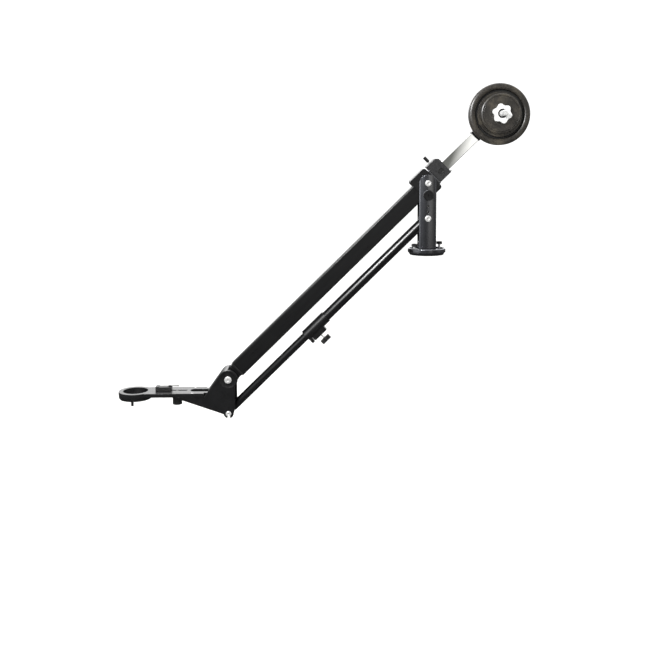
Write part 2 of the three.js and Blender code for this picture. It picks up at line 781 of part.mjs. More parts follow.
// Knobs that turn on the boom
function makeBoomKnobs(boom) {
  const bossFace = armTubeWidth / 2 + armLockBossHeight;
  const grip = lobedOutline(armLockRadius, gripLobes, gripLobeShare);
  const armKnob = join(
    bar("y", armLockStemRadius, innerTubeWidth / 2 + gap, bossFace + 2 * gap, smallSides),
    drawn("y", grip, bossFace + gap, bossFace + gap + armLockThickness),
  );
  addPiece(boom, "arm_lock_knob", armKnob, finishes.blackPlastic, [-armLockFromPivot, 0, 0]);

  const thumbScrew = join(
    bar("z", thumbStemRadius, barSize / 2 + gap, thumbGripStart + gap, smallSides),
    chamferedBar(
      "z",
      thumbGripRadius,
      thumbGripStart,
      thumbGripStart + thumbGripLength,
      thumbGripChamfer,
      smallSides,
    ),
  );
  addPiece(boom, "bar_thumb_screw", thumbScrew, finishes.blackPlastic, [thumbFromPivot, 0, 0]);
}

function makeWeightClamp(boom) {
  const boreWalls = [-barBore / 2, barBore / 2];
  const neckSection = roundedRectangle(neckDepth, neckHeight, clampCorner);
  const clampSection = roundedRectangle(clampDepth, clampHeight, clampCorner);
  let neck = cut(
    drawn("x", neckSection, neckStart, neckStart + neckLength),
    block([neckStart - overrun, clampStart], boreWalls, boreWalls),
  );
  const plugHole = bar("y", sidePlugRadius + gap, -clampDepth, sidePlugDepth - clampDepth / 2);
  let body = cut(
    drawn("x", clampSection, clampStart, clampEnd).translate([0, 0, clampRise]),
    block([clampStart - overrun, clampEnd + overrun], boreWalls, boreWalls),
    bar("z", thumbStemRadius + gap, 0, clampHeight, smallSides).translate([thumbFromPivot, 0, 0]),
    plugHole.translate([sidePlugFromPivot, 0, 0]),
  );
  const headFace = clampEnd + gap + clampScrewHeadHeight;
  [-1, 1].forEach((sign, i) => {
    const place = [0, sign * clampScrewSide, sign * clampScrewRise];
    const drill = bar("x", clampScrewRadius + gap, neckStart - overrun, clampEnd + overrun, smallSides);
    const hole = drill.translate(place);
    neck = cut(neck, hole);
    body = cut(body, hole);
    const screw = join(
      bar("x", clampScrewHeadRadius, clampEnd + gap, headFace, smallSides),
      bar("x", clampScrewRadius, clampEnd + gap - clampScrewReach, headFace - gap, smallSides),
    );
    addPiece(boom, `clamp_screw_${i + 1}`, screw, finishes.brightZinc, place);
  });
  addPiece(boom, "neck_plate", neck, finishes.columnAnodised);
  addPiece(boom, "weight_bar_clamp", body, finishes.castBlack);
  const plug = bar("y", sidePlugRadius, -clampDepth / 2 - gap, sidePlugDepth - gap - clampDepth / 2);
  addPiece(boom, "clamp_side_plug", plug, finishes.blackPlastic, [sidePlugFromPivot, 0, 0]);
}

// Weight bar with its shaft and discs, drawn in the boom's frame
function makeWeightBar(weights) {
  const drill = bar("y", shaftRadius + gap, -shaftBlockDepth, shaftBlockDepth);
  const shaftHole = drill.translate([shaftFromPivot, 0, 0]);
  const tube = cut(squareTube(barSize, barSize, barWall, barCorner, barStart, barEnd), shaftHole);
  addPiece(weights, "weight_bar", tube, finishes.polishedSteel);

  const boreWalls = [-barBore / 2, barBore / 2];
  const section = roundedRectangle(shaftBlockDepth, shaftBlockHeight, barCorner);
  const body = drawn("x", section, shaftBlockStart, shaftBlockEnd);
  const boss = bar("y", shaftBossRadius, -shaftSide - shaftBossHeight, -shaftSide / 2);
  const shaftBlock = cut(
    join(body, boss.translate([shaftFromPivot, 0, 0])),
    block([shaftBlockStart - overrun, barEnd + gap], boreWalls, boreWalls),
    shaftHole,
  );
  addPiece(weights, "weight_shaft_block", shaftBlock, finishes.castBlack);
}

function makeWeights(weights) {
  const nutBack = shaftSide + gap + shaftNutHeight;
  const shaft = bar("y", shaftRadius, -starFace - shaftTip, nutBack + shaftFarTip, smallSides);
  addPiece(weights, "weight_shaft", shaft, finishes.brightZinc, [shaftFromPivot, 0, 0]);
  const nut = cut(
    drawn("y", hexagon(shaftNutRadius), shaftSide + gap, nutBack),
    bar("y", shaftRadius + gap, 0, 2 * nutBack, smallSides),
  );
  addPiece(weights, "weight_shaft_nut", nut, finishes.brightZinc, [shaftFromPivot, 0, 0]);

  const bore = shaftRadius + gap;
  const inner = largeWeightRadius - largeWeightRimWidth;
  const back = -largeWeightBack;
  const face = back - largeWeightThickness;
  const large = turned(
    "y",
    [
      [bore, back],
      [shaftBossRadius, back],
      [shaftBossRadius, back - largeWeightDish],
      [inner, back - largeWeightDish],
      [inner + largeWeightBevel, back],
      [largeWeightRadius - largeWeightBevel, back],
      [largeWeightRadius, back - largeWeightBevel],
      [largeWeightRadius, face + largeWeightBevel],
      [largeWeightRadius - largeWeightBevel, face],
      [inner + largeWeightBevel, face],
      [inner, face + largeWeightDish],
      [smallWeightRadius, face + largeWeightDish],
      [smallWeightRadius - smallWeightBevel, face],
      [bore, face],
    ],
    fineSides,
  );
  addPiece(weights, "large_weight", large, finishes.castIron, [shaftFromPivot, 0, 0]);

  const smallBack = -smallWeightBack;
  const smallFace = smallBack - smallWeightThickness;
  const smallInner = smallWeightRadius - smallWeightBevel - smallWeightRimWidth;
  const small = turned(
    "y",
    [
      [bore, smallBack],
      [smallWeightRadius, smallBack],
      [smallWeightRadius, smallFace + smallWeightBevel],
      [smallWeightRadius - smallWeightBevel, smallFace],
      [smallInner, smallFace],
      [smallInner, smallFace + smallWeightStep],
      [knobWasherRadius + smallWeightPadMargin, smallFace + smallWeightStep],
      [knobWasherRadius + smallWeightPadMargin, smallFace],
      [bore, smallFace],
    ],
    fineSides,
  );
  addPiece(weights, "small_weight", small, finishes.castIron, [shaftFromPivot, 0, 0]);
  const washer = pipe("y", knobWasherRadius, bore, -knobWasherBack - knobWasherThickness, -knobWasherBack);
  addPiece(weights, "weight_washer", washer, finishes.brightZinc, [shaftFromPivot, 0, 0]);

  const star = cut(
    drawn("y", lobedOutline(starRadius, starLobes, starLobeShare), -starFace, -starBack),
    bar("y", bore, -starFace - overrun, overrun - starBack),
  );
  addPiece(weights, "weight_star_knob", star, finishes.polishedSteel, [shaftFromPivot, 0, 0]);
}

// Inner arm, drawn in the boom's frame
function makeInnerArm(arm) {
  const tubeFront = armLength - endEyeRadius - endEyeStandoff;
  const tube = squareTube(
    innerTubeHeight,
    innerTubeWidth,
    innerTubeWall,
    innerTubeCorner,
    -tubeFront,
    -innerTubeTail,
  );
  addPiece(arm, "arm_inner_tube", tube, finishes.blackAnodised);

  const spigotWidth = innerTubeWidth - 2 * innerTubeWall - 2 * gap;
  const spigotHeight = innerTubeHeight - 2 * innerTubeWall - 2 * gap;
  const spigotCorner = innerTubeCorner / 2;
  const plug = roundedRectangle(spigotWidth, spigotHeight, spigotCorner);
  const neck = roundedRectangle(spigotWidth, endNeckHeight, spigotCorner);
  const spigot = join(
    drawn("x", plug, -tubeFront, endSpigotDepth - tubeFront),
    drawn("x", neck, -armLength, endSpigotDepth - tubeFront),
  );
  const eye = bar("y", endEyeRadius, -headEyeHalf, headEyeHalf).translate([-armLength, 0, 0]);
  const bore = bar("y", sleeveRadius + gap, -bracketDepth, bracketDepth).translate([-armLength, 0, 0]);
  addPiece(arm, "arm_end_eye", cut(join(eye, spigot), bore), finishes.castBlack);
  const sleeve = pipe("y", sleeveRadius, tiltBoltRadius + gap, -headEyeHalf, headEyeHalf);
  addPiece(arm, "head_sleeve", sleeve, finishes.bronze, [-armLength, 0, 0]);
}

// Head, drawn with the head pivot at the origin of its group
const slant = THREE.MathUtils.degToRad(frontSlant);
const slantNormal = [-Math.sin(slant), Math.cos(slant)];

// Where the slanted front edge is at a height above the pivot, for a distance off the pivot.
const slantX = (height, distance) => (distance - height * slantNormal[1]) / slantNormal[0];

function cheekOutline() {
  const slantAngle = Math.PI / 2 + slant;
  const rearAngle = -Math.acos(rearEdge / bossRadius);
  const top = -platformBottom - gap;
  const tipZ = top - gussetTip;
  const meetAngle = THREE.MathUtils.degToRad(gussetMeet);
  const outline = new THREE.Shape();
  outline.moveTo(-gussetReach, top);
  outline.lineTo(-gussetReach, tipZ);
  outline.absarc(0, -linkSpacing, lowerBossRadius, meetAngle, 0);
  outline.lineTo(rearEdge, rearEdgeCorner - linkSpacing);
  outline.absarc(0, 0, bossRadius, rearAngle, slantAngle);
  outline.lineTo(slantX(top, bossRadius), top);
  return outline;
}

function makeHeadBracket(head) {
  const outline = cheekOutline();
  const steps = roundSides / 2;
  const nearCheek = drawn("y", outline, -headHalfDepth, -headGapHalf, steps);
  const farCheek = drawn("y", outline, headGapHalf, headHalfDepth, steps);

  const inner = bossRadius - webThickness;
  const webBottom = gap - platformDrop;
  const topAngle = THREE.MathUtils.degToRad(webTopAngle);
  const slantAngle = Math.PI / 2 + slant;
  const web = new THREE.Shape();
  web.moveTo(slantX(webBottom, bossRadius), webBottom);
  web.lineTo(slantX(webBottom, inner), webBottom);
  web.absarc(0, 0, inner, slantAngle, topAngle, true);
  web.absarc(0, 0, bossRadius, topAngle, slantAngle);
  const crossWeb = drawn("y", web, -cheekMiddle, cheekMiddle, steps);

  const across = [-headHalfDepth - overrun, headHalfDepth + overrun];
  const dishFloor = headHalfDepth - bossDishDepth;
  const dish = turned("y", [
    [0, -headHalfDepth - overrun],
    [bossDishRadius, -headHalfDepth - overrun],
    [bossDishRadius, -headHalfDepth],
    [headBoltHeadRadius + gap, -dishFloor],
    [0, -dishFloor],
  ]);
  const notch = rodNotchWidth / 2;
  const notchBottom = -linkSpacing - lowerBossRadius - overrun;
  let bracket = cut(
    join(nearCheek, farCheek, crossWeb),
    bar("y", tiltBoltRadius + gap, ...across, smallSides),
    dish,
    bar("y", notch, ...across, smallSides).translate([0, 0, -linkSpacing]),
    block([-notch, notch], across, [notchBottom, -linkSpacing]),
  );
  const screwDepth = platformDrop + platformScrewLength + gap;
  for (const side of [-1, 1]) {
    const hole = bar("z", platformScrewRadius + gap, -screwDepth, -platformDrop, smallSides);
    bracket = cut(bracket, hole.translate([-platformScrewReach, side * cheekMiddle, 0]));
  }
  addPiece(head, "head_bracket", bracket, finishes.castBlack);
}

function makePlatform(head) {
  const [top, bottom] = [-platformDrop, -platformBottom];
  const shoulder = slantX(bottom, bossRadius) - 2 * gap;
  const tongue = headGapHalf - gap;
  const plateOutline = outlineOf([
    [-ringReach, -platformHalfWidth],
    [shoulder, -platformHalfWidth],
    [shoulder, -tongue],
    [-platformTongueEnd, -tongue],
    [-platformTongueEnd, tongue],
    [shoulder, tongue],
    [shoulder, platformHalfWidth],
    [-ringReach, platformHalfWidth],
  ]);
  const grooveTop = top - ringGrooveTop;
  const grooveBottom = grooveTop - ringGrooveHeight;
  const ring = turned(
    "z",
    [
      [0, top],
      [ringRadius, top],
      [ringRadius, grooveTop],
      [ringRadius - ringGrooveDepth, grooveTop],
      [ringRadius - ringGrooveDepth, grooveBottom],
      [ringRadius, grooveBottom],
      [ringRadius - ringTaper, top - ringHeight],
      [0, top - ringHeight],
    ],
    fineSides,
  );
  const bowl = turned(
    "z",
    [
      [0, top + overrun],
      [bowlRadius, top + overrun],
      [bowlRadius, top - ringTaper],
      [bowlBottomRadius, top - ringHeight],
      [bowlBottomRadius, top - ringHeight - overrun],
      [0, top - ringHeight - overrun],
    ],
    fineSides,
  );
  const through = [bottom - overrun, top + overrun];
  const pegFloor = top - ringHeight + pegTenonLength + gap;
  const pegHole = bar("z", pegTenonRadius + gap, top - 2 * ringHeight, pegFloor, smallSides);
  const latchHole = bar("z", latchScrewRadius + gap, ...through, smallSides);
  let platform = cut(
    join(drawn("z", plateOutline, bottom, top), ring.translate([-ringReach, 0, 0])),
    bowl.translate([-ringReach, 0, 0]),
    drawn("z", roundedSlot(-windowEnd, -windowStart, windowWidth), ...through, 2 * cornerSteps),
    drawn("z", roundedSlot(-cameraSlotEnd, -cameraSlotStart, cameraSlotWidth), ...through, 2 * cornerSteps),
    latchHole.translate([latchScrewFromEnd - latchEnd, 0, 0]),
    pegHole.translate([pegX, pegY, 0]),
  );
  for (const side of [-1, 1]) {
    const place = [-platformScrewReach, side * cheekMiddle, 0];
    const hole = bar("z", platformScrewRadius + gap, ...through, smallSides);
    const seatFloor = top - platformScrewHeadHeight - gap;
    const seat = bar("z", platformScrewHeadRadius + gap, seatFloor, top + overrun, smallSides);
    platform = cut(platform, hole.translate(place), seat.translate(place));
  }
  addPiece(head, "camera_platform", platform, finishes.castBlack);

  const headFloor = top - platformScrewHeadHeight;
  ["near", "far"].forEach((name, i) => {
    const side = (2 * i - 1) * cheekMiddle;
    const screw = join(
      bar("z", platformScrewHeadRadius, headFloor, top - gap, smallSides),
      bar("z", platformScrewRadius, top - platformScrewLength, headFloor + gap, smallSides),
    );
    addPiece(head, `platform_screw_${name}`, screw, finishes.brightZinc, [-platformScrewReach, side, 0]);
  });

  const ringBottom = top - ringHeight;
  const peg = join(
    chamferedBar("z", pegRadius, ringBottom - gap, ringBottom - gap - pegLength, pegChamfer, smallSides),
    bar("z", pegTenonRadius, ringBottom - 2 * gap, ringBottom + pegTenonLength, smallSides),
  );
  addPiece(head, "ring_peg", peg, finishes.blackPlastic, [pegX, pegY, 0]);
}

function makeHeadFasteners(head) {
  const headBolt = pivotBolt(tiltBoltRadius, headBoltHeadRadius, headHalfDepth);
  addPiece(head, "head_pivot_bolt", headBolt, finishes.brightZinc);
  addPiece(head, "head_pivot_nut", pivotNut(tiltBoltRadius, headHalfDepth), finishes.brightZinc);
  const rodBolt = pivotBolt(rodBoltRadius, frontRodBoltHeadRadius, headHalfDepth);
  addPiece(head, "rod_front_bolt", rodBolt, finishes.brightZinc, [0, 0, -linkSpacing]);
  const rodNut = pivotNut(rodBoltRadius, headHalfDepth);
  addPiece(head, "rod_front_nut", rodNut, finishes.brightZinc, [0, 0, -linkSpacing]);
}

function makeLatch(head) {
  const floor = gap - platformDrop;
  const leverX = -latchStart - latchPostLength / 2;
  const outline = outlineOf([
    [-latchEnd, floor],
    [-latchStart, floor],
    [-latchStart, floor + latchLeverSeat],
    [-latchStart - latchPostLength, floor + latchLeverSeat],
    [-latchStart - latchPostLength, floor + latchMiddleHeight],
    [latchPostLength - latchEnd, floor + latchMiddleHeight],
    [latchPostLength - latchEnd, floor + latchPostHeight],
    [-latchEnd, floor + latchPostHeight],
  ]);
  const pinFloor = floor + latchLeverSeat - leverPinLength;
  const screwX = latchScrewFromEnd - latchEnd;
  const holeTop = floor + latchScrewGrip + gap;
  const screwHole = bar("z", latchScrewRadius + gap, floor - overrun, holeTop, smallSides);
  const housing = cut(
    drawn("y", outline, -latchWidth / 2, latchWidth / 2),
    bar("z", leverPinRadius + gap, pinFloor, floor + latchPostHeight, smallSides).translate([leverX, 0, 0]),
    screwHole.translate([screwX, 0, 0]),
  );
  addPiece(head, "latch_housing", housing, finishes.blackPlastic);

  const screwHeadTop = -platformBottom - gap;
  const screw = join(
    bar("z", latchScrewHeadRadius, screwHeadTop - latchScrewHeadHeight, screwHeadTop, smallSides),
    bar("z", latchScrewRadius, screwHeadTop - gap, floor + latchScrewGrip, smallSides),
  );
  addPiece(head, "latch_screw", screw, finishes.brightZinc, [screwX, 0, 0]);

  const seat = floor + latchLeverSeat + gap;
  const rodZ = seat + leverHeadHeight / 2;
  const lever = join(
    bar("z", leverHeadRadius, seat, seat + leverHeadHeight, smallSides),
    bar("z", leverPinRadius, pinFloor + gap, seat + gap, smallSides),
    bar("x", leverRodRadius, 0, latchPostLength / 2 + leverReach, smallSides).translate([0, 0, rodZ]),
  );
  addPiece(head, "latch_lever", lever, finishes.brightZinc, [leverX, 0, 0]);
}

function makeCameraScrew(head) {
  const washerTop = -platformBottom - gap;
  const washerBottomZ = washerTop - cameraWasherThickness;
  const bore = cameraScrewRadius + gap;
  const washer = pipe("z", cameraWasherRadius, bore, washerBottomZ, washerTop);
  addPiece(head, "camera_screw_washer", washer, finishes.brightZinc, [-cameraScrewReach, 0, 0]);
  const knobTop = washerBottomZ - gap;
  const stem = bar("z", cameraScrewRadius, knobTop - gap, -platformDrop - gap, smallSides);
  const grip = lobedOutline(cameraKnobRadius, cameraKnobLobes, cameraKnobLobeShare, fineGripSteps);
  const knob = join(stem, drawn("z", grip, knobTop - cameraKnobHeight, knobTop));
  addPiece(head, "camera_screw_knob", knob, finishes.blackPlastic, [-cameraScrewReach, 0, 0]);
}

// Control rod, drawn level with the rear rod pivot at the origin of its group
function makeOuterRod(rod) {
  const tubeRear = rearEyeRadius + rearEyeStandoff;
  const knobHole = bar("z", rodKnobStemRadius + gap, -2 * rodTubeRadius, 0, smallSides);
  const tube = cut(
    pipe("x", rodTubeRadius, rodTubeRadius - rodTubeWall, -rodTubeFront, -tubeRear),
    knobHole.translate([-rodKnobFromPivot, 0, 0]),
  );
  addPiece(rod, "rod_outer_tube", tube, finishes.blackAnodised);

  const eye = cut(
    join(
      bar("y", rearEyeRadius, -eyeHalfWidth, eyeHalfWidth),
      bar("x", rodTubeRadius - rodTubeWall - gap, -rearSpigotEnd, 0),
    ),
    bar("y", rodBoltRadius + gap, -forkSlot, forkSlot, smallSides),
  );
  addPiece(rod, "rod_rear_eye", eye, finishes.castBlack);
}

function makeRodClamp(rod) {
  const lipFront = rodClampFront + rodClampLipLength;
  const knobHole = bar("z", rodKnobStemRadius + gap, -2 * rodClampBossDrop, 0, smallSides);
  const boreEnd = rodTubeFront + gap;
  const bossHalf = rodClampBossWidth / 2;
  const lipHalf = bossHalf + rodClampLipOverhang;
  const body = cut(
    join(
      bar("x", rodClampRadius, -lipFront, -rodClampRear),
      block([-rodClampBossFront, -rodClampBossRear], [-bossHalf, bossHalf], [-rodClampBossDrop, 0]),
      block([-lipFront, -rodClampFront], [-lipHalf, lipHalf], [-rodClampBossDrop, 0]),
    ),
    bar("x", rodBore, -boreEnd, overrun - rodClampRear),
    bar("x", innerRodRadius + gap, -lipFront - overrun, -rodClampRear),
    knobHole.translate([-rodKnobFromPivot, 0, 0]),
  );
  addPiece(rod, "rod_clamp_sleeve", body, finishes.castBlack);

  const knob = join(
    bar("z", rodKnobStemRadius, -rodKnobStart - gap, -innerRodRadius - gap, smallSides),
    drawn(
      "z",
      lobedOutline(rodKnobRadius, gripLobes, gripLobeShare),
      -rodKnobStart - rodKnobThickness,
      -rodKnobStart,
    ),
  );
  addPiece(rod, "rod_clamp_knob", knob, finishes.blackPlastic, [-rodKnobFromPivot, 0, 0]);
}

function makeInnerRod(rod) {
  const tubeFront = armLength - frontEyeRadius - endEyeStandoff;
  const bore = innerRodRadius - innerRodWall;
  const tube = pipe("x", innerRodRadius, bore, -tubeFront, -innerRodTail);
  addPiece(rod, "rod_inner_tube", tube, finishes.blackAnodised);
  const eye = cut(
    join(
      bar("y", frontEyeRadius, -headEyeHalf, headEyeHalf),
      bar("x", bore - gap, 0, armLength - tubeFront + frontSpigotDepth, smallSides),
    ),
    bar("y", rodBoltRadius + gap, -bracketDepth, bracketDepth, smallSides),
  );
  addPiece(rod, "rod_front_eye", eye, finishes.castBlack, [-armLength, 0, 0]);
}

// Assembly
const crane = new THREE.Group();
const column = new THREE.Group();
const boom = new THREE.Group();
const controlRod = new THREE.Group();
const innerArm = new THREE.Group();
const innerRod = new THREE.Group();
const weights = new THREE.Group();
const head = new THREE.Group();

const dip = THREE.MathUtils.degToRad(restDip);
crane.add(column);
column.add(boom, controlRod);
boom.position.set(0, 0, tiltHeight);
boom.rotation.y = -dip;
controlRod.position.set(0, 0, rodHeight);
controlRod.rotation.y = -dip;
boom.add(innerArm, weights);
controlRod.add(innerRod);
innerArm.add(head);
head.position.set(-armLength, 0, 0);
head.rotation.y = dip;

makeBase(crane);
makeTurntable(column);
makeFork(column);
makeColumnFasteners(column);
makeColumnKnobs(column);
makePivotBlock(boom);
makeOuterArm(boom);
makeBoomKnobs(boom);
makeWeightClamp(boom);
makeWeightBar(weights);
makeWeights(weights);
makeInnerArm(innerArm);
makeHeadBracket(head);
makePlatform(head);
makeHeadFasteners(head);
makeLatch(head);
makeCameraScrew(head);
makeOuterRod(controlRod);
makeRodClamp(controlRod);
makeInnerRod(innerRod);

export default crane;
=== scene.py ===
import math

import bmesh
import bpy
from mathutils import Matrix, Vector


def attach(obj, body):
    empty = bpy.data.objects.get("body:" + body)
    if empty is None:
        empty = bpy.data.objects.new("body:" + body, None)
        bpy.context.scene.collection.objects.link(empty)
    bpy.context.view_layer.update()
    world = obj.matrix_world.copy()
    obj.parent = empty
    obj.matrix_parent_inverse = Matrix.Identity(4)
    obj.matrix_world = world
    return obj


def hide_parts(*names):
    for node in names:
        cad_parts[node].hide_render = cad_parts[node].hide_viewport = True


MM = 0.001
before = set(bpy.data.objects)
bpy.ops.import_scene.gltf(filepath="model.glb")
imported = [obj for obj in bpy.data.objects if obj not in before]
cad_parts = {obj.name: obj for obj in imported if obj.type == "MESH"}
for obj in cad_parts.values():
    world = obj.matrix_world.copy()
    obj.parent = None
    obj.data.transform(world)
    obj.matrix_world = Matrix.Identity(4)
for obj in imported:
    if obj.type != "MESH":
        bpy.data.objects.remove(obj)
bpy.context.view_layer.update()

# Sizes shared with the solids. Bolts and screws are given by their radius.
gap = 0.3
dip = math.radians(44.3)
arm_length = 846.5
link_spacing = 105
tilt_height = 216
rod_height = tilt_height - link_spacing
eye_half = 22.4
head_half = 38
head_gap_half = 31
head_eye_half = 30.4
sleeve_radius = 7.3
disc_bottom = 9.8
disc_top = 15
fork_bottom = 15.3
column_width = 52
column_depth = 60
column_bulge = 4.5
shaft_reach = 290
boom_bolt = 5
rod_bolt = 4
nut_height = 8
fine_screw = 2
long_screw = 2.5

# Places that pieces are drawn in before they are set into the crane
level = Matrix.Identity(4)
boom_place = Matrix.Translation((0, 0, tilt_height * MM)) @ Matrix.Rotation(-dip, 4, "Y")
rod_place = Matrix.Translation((0, 0, rod_height * MM)) @ Matrix.Rotation(-dip, 4, "Y")
head_pivot = boom_place @ Vector((-arm_length * MM, 0, 0))
head_place = Matrix.Translation(head_pivot)


# Materials


def linear(code):
    """An sRGB hex colour as linear red, green, blue and alpha."""
    channels = [int(code[i : i + 2], 16) / 255 for i in (1, 3, 5)]
    return [c / 12.92 if c <= 0.04045 else ((c + 0.055) / 1.055) ** 2.4 for c in channels] + [1]


def add(tree, kind, settings=None, inputs=None):
    """A node of a kind, with its settings, and with its inputs set or linked."""
    made = tree.nodes.new(kind)
    for name, value in (settings or {}).items():
        setattr(made, name, value)
    for name, value in (inputs or {}).items():
        if isinstance(value, bpy.types.NodeSocket):
            tree.links.new(value, made.inputs[name])
        else:
            made.inputs[name].default_value = value
    return made


def fade(tree, factor, stops):
    """A colour ramp through stops of place and hex colour."""
    ramp = add(tree, "ShaderNodeValToRGB", inputs={"Fac": factor})
    band = ramp.color_ramp
    while len(band.elements) < len(stops):
        band.elements.new(0.5)
    for element, (place, code) in zip(band.elements, stops):
        element.position = place
        element.color = linear(code)
    return ramp.outputs["Color"]


def surface(name, turn=None, stretch=(1, 1, 1), **settings):
    """A new material: its tree, its shader and the piece's own coordinates in millimetres."""
    material = bpy.data.materials.new(name)
    material.use_nodes = True
    tree = material.node_tree
    tree.nodes.clear()
    shader = add(tree, "ShaderNodeBsdfPrincipled", inputs=settings)
    add(tree, "ShaderNodeOutputMaterial", inputs={"Surface": shader.outputs["BSDF"]})
    place = add(tree, "ShaderNodeTexCoord").outputs["Object"]
    if turn is not None:
        place = add(
            tree,
            "ShaderNodeMapping",
            {"vector_type": "POINT"},
            {"Vector": place, "Rotation": turn},
        ).outputs["Vector"]
    millimetres = add(
        tree,
        "ShaderNodeVectorMath",
        {"operation": "MULTIPLY"},
        {0: place, 1: [1000 * s for s in stretch]},
    ).outputs["Vector"]
    return material, tree, shader, millimetres


def grain(tree, place, size, detail=3, rough=0.5):
    """Noise whose spots are about size millimetres wide."""
    noise = add(
        tree,
        "ShaderNodeTexNoise",
        inputs={"Vector": place, "Scale": 1 / size, "Detail": detail, "Roughness": rough},
    )
    return noise.outputs["Fac"]


def span(tree, value, low, high):
    """A noise's middle range spread from low to high."""
    ranged = add(
        tree,
        "ShaderNodeMapRange",
        inputs={"Value": value, "From Min": 0.3, "From Max": 0.7, "To Min": low, "To Max": high},
    )
    return ranged.outputs["Result"]


def tint(tree, shader, pattern, stops):
    """Colours a shader by a pattern, through stops of place and hex colour."""
    tree.links.new(fade(tree, pattern, stops), shader.inputs["Base Color"])


def shine(tree, shader, pattern, smooth, rough):
    """Spreads a shader's roughness over a pattern."""
    tree.links.new(span(tree, pattern, smooth, rough), shader.inputs["Roughness"])


def relief(tree, shader, height, depth, strength=1.0):
    """Bumps of a depth in millimetres on a shader."""
    bump = add(
        tree,
        "ShaderNodeBump",
        inputs={"Height": height, "Distance": depth * MM, "Strength": strength},
    )
    tree.links.new(bump.outputs["Normal"], shader.inputs["Normal"])


# Black anodised aluminium extrusion: a near-black satin with faint die lines along its length.
boom_turn = (0, dip, 0)
black_anodised, tree, shader, place = surface(
    "black_anodised_extrusion", turn=boom_turn, stretch=(0.02, 1, 1), **{"Metallic": 0.0, "IOR": 1.5}
)
die_lines = grain(tree, place, 1.6, 4, 0.6)
tint(tree, shader, die_lines, [(0.3, "#080809"), (0.7, "#0c0c0d")])
shine(tree, shader, die_lines, 0.27, 0.35)
relief(tree, shader, die_lines, 0.02, 0.4)

# Gloss black painted tube: smooth enough for one bright streak of light along it.
gloss_black, tree, shader, place = surface(
    "gloss_black_tube", turn=boom_turn, stretch=(0.03, 1, 1), **{"Metallic": 0.0, "IOR": 1.5}
)
draw_lines = grain(tree, place, 2.5, 2)
tint(tree, shader, draw_lines, [(0.3, "#0b0b0c"), (0.7, "#101011")])
shine(tree, shader, draw_lines, 0.23, 0.28)
relief(tree, shader, draw_lines, 0.01, 0.3)

# Grey anodised aluminium, machined along its height: it mirrors the room in soft upright bands.
grey_anodised, tree, shader, place = surface(
    "grey_anodised_machined", stretch=(1, 1, 0.03), **{"Metallic": 1.0, "Anisotropic": 0.35}
)
mill_lines = grain(tree, place, 0.7, 4, 0.65)
patches = grain(tree, place, 14, 2)
tint(tree, shader, patches, [(0.35, "#77787c"), (0.65, "#7f8084")])
shine(tree, shader, mill_lines, 0.2, 0.28)
relief(tree, shader, mill_lines, 0.015, 0.5)

# Black satin paint on an aluminium casting: a fine orange peel over slightly uneven metal.
cast_black, tree, shader, place = surface("black_paint_on_casting", **{"Metallic": 0.0, "IOR": 1.5})
peel = grain(tree, place, 1.3, 4, 0.6)
cloud = grain(tree, place, 22, 3)
tint(tree, shader, cloud, [(0.3, "#0d0d0e"), (0.7, "#131314")])
shine(tree, shader, peel, 0.25, 0.33)
relief(tree, shader, peel, 0.06, 0.5)

# The same paint on the weight bar's clamp, dulled by hands: a little greyer, and blotched.
worn_black, tree, shader, place = surface("worn_black_paint", **{"Metallic": 0.0, "IOR": 1.5})
scuffs = grain(tree, place, 2.6, 5, 0.7)
tint(tree, shader, scuffs, [(0.32, "#161617"), (0.68, "#2f2f30")])
shine(tree, shader, scuffs, 0.3, 0.44)
relief(tree, shader, scuffs, 0.08, 0.5)

# Moulded black nylon: a dull satin. Its spark-eroded texture is drawn a little coarser than it is, to show.
black_nylon, tree, shader, place = surface("moulded_black_nylon", **{"Metallic": 0.0, "IOR": 1.53})
spark = grain(tree, place, 0.6, 3, 0.7)
tint(tree, shader, spark, [(0.3, "#0f0f0f"), (0.7, "#161616")])
shine(tree, shader, spark, 0.36, 0.48)
relief(tree, shader, spark, 0.05, 0.6)

# Brown-grey hammered paint on cast iron: finely mottled, with wide cloudy stains and a satin shine.
iron_paint, tree, shader, place = surface("painted_cast_iron", **{"Metallic": 0.0, "IOR": 1.6})
mottle = grain(tree, place, 5, 5, 0.65)
stain = grain(tree, place, 38, 3)
clouded = add(
    tree,
    "ShaderNodeMath",
    {"operation": "ADD"},
    {0: span(tree, mottle, 0.1, 0.45), 1: span(tree, stain, 0, 0.5)},
).outputs["Value"]
tint(tree, shader, clouded, [(0.15, "#161412"), (0.5, "#292622"), (0.85, "#433e35")])
shine(tree, shader, mottle, 0.29, 0.38)
relief(tree, shader, mottle, 0.25, 0.6)

# Polished stainless steel: a clean mirror, with buffing that only just softens it along the bar.
polished_steel, tree, shader, place = surface(
    "polished_steel", turn=boom_turn, stretch=(0.02, 1, 1), **{"Metallic": 1.0}
)
buffing = grain(tree, place, 0.9, 3)
tint(tree, shader, buffing, [(0.3, "#f0f0ee"), (0.7, "#f6f6f5")])
shine(tree, shader, buffing, 0.02, 0.035)

# Bright zinc plate on turned steel: silvery, slightly cloudy.
bright_zinc, tree, shader, place = surface("bright_zinc_plate", **{"Metallic": 0.7})
plating = grain(tree, place, 1.5, 4)
tint(tree, shader, plating, [(0.3, "#ececec"), (0.7, "#f4f4f2")])
shine(tree, shader, plating, 0.24, 0.32)
relief(tree, shader, plating, 0.01, 0.4)

# Bright tumbled die casting: nearly white, with a soft shine.
bright_casting, tree, shader, place = surface("bright_tumbled_casting", **{"Metallic": 0.35})
tumbled = grain(tree, place, 2.2, 4)
tint(tree, shader, tumbled, [(0.3, "#f2f2f1"), (0.7, "#fafaf9")])
shine(tree, shader, tumbled, 0.3, 0.4)
relief(tree, shader, tumbled, 0.02, 0.3)

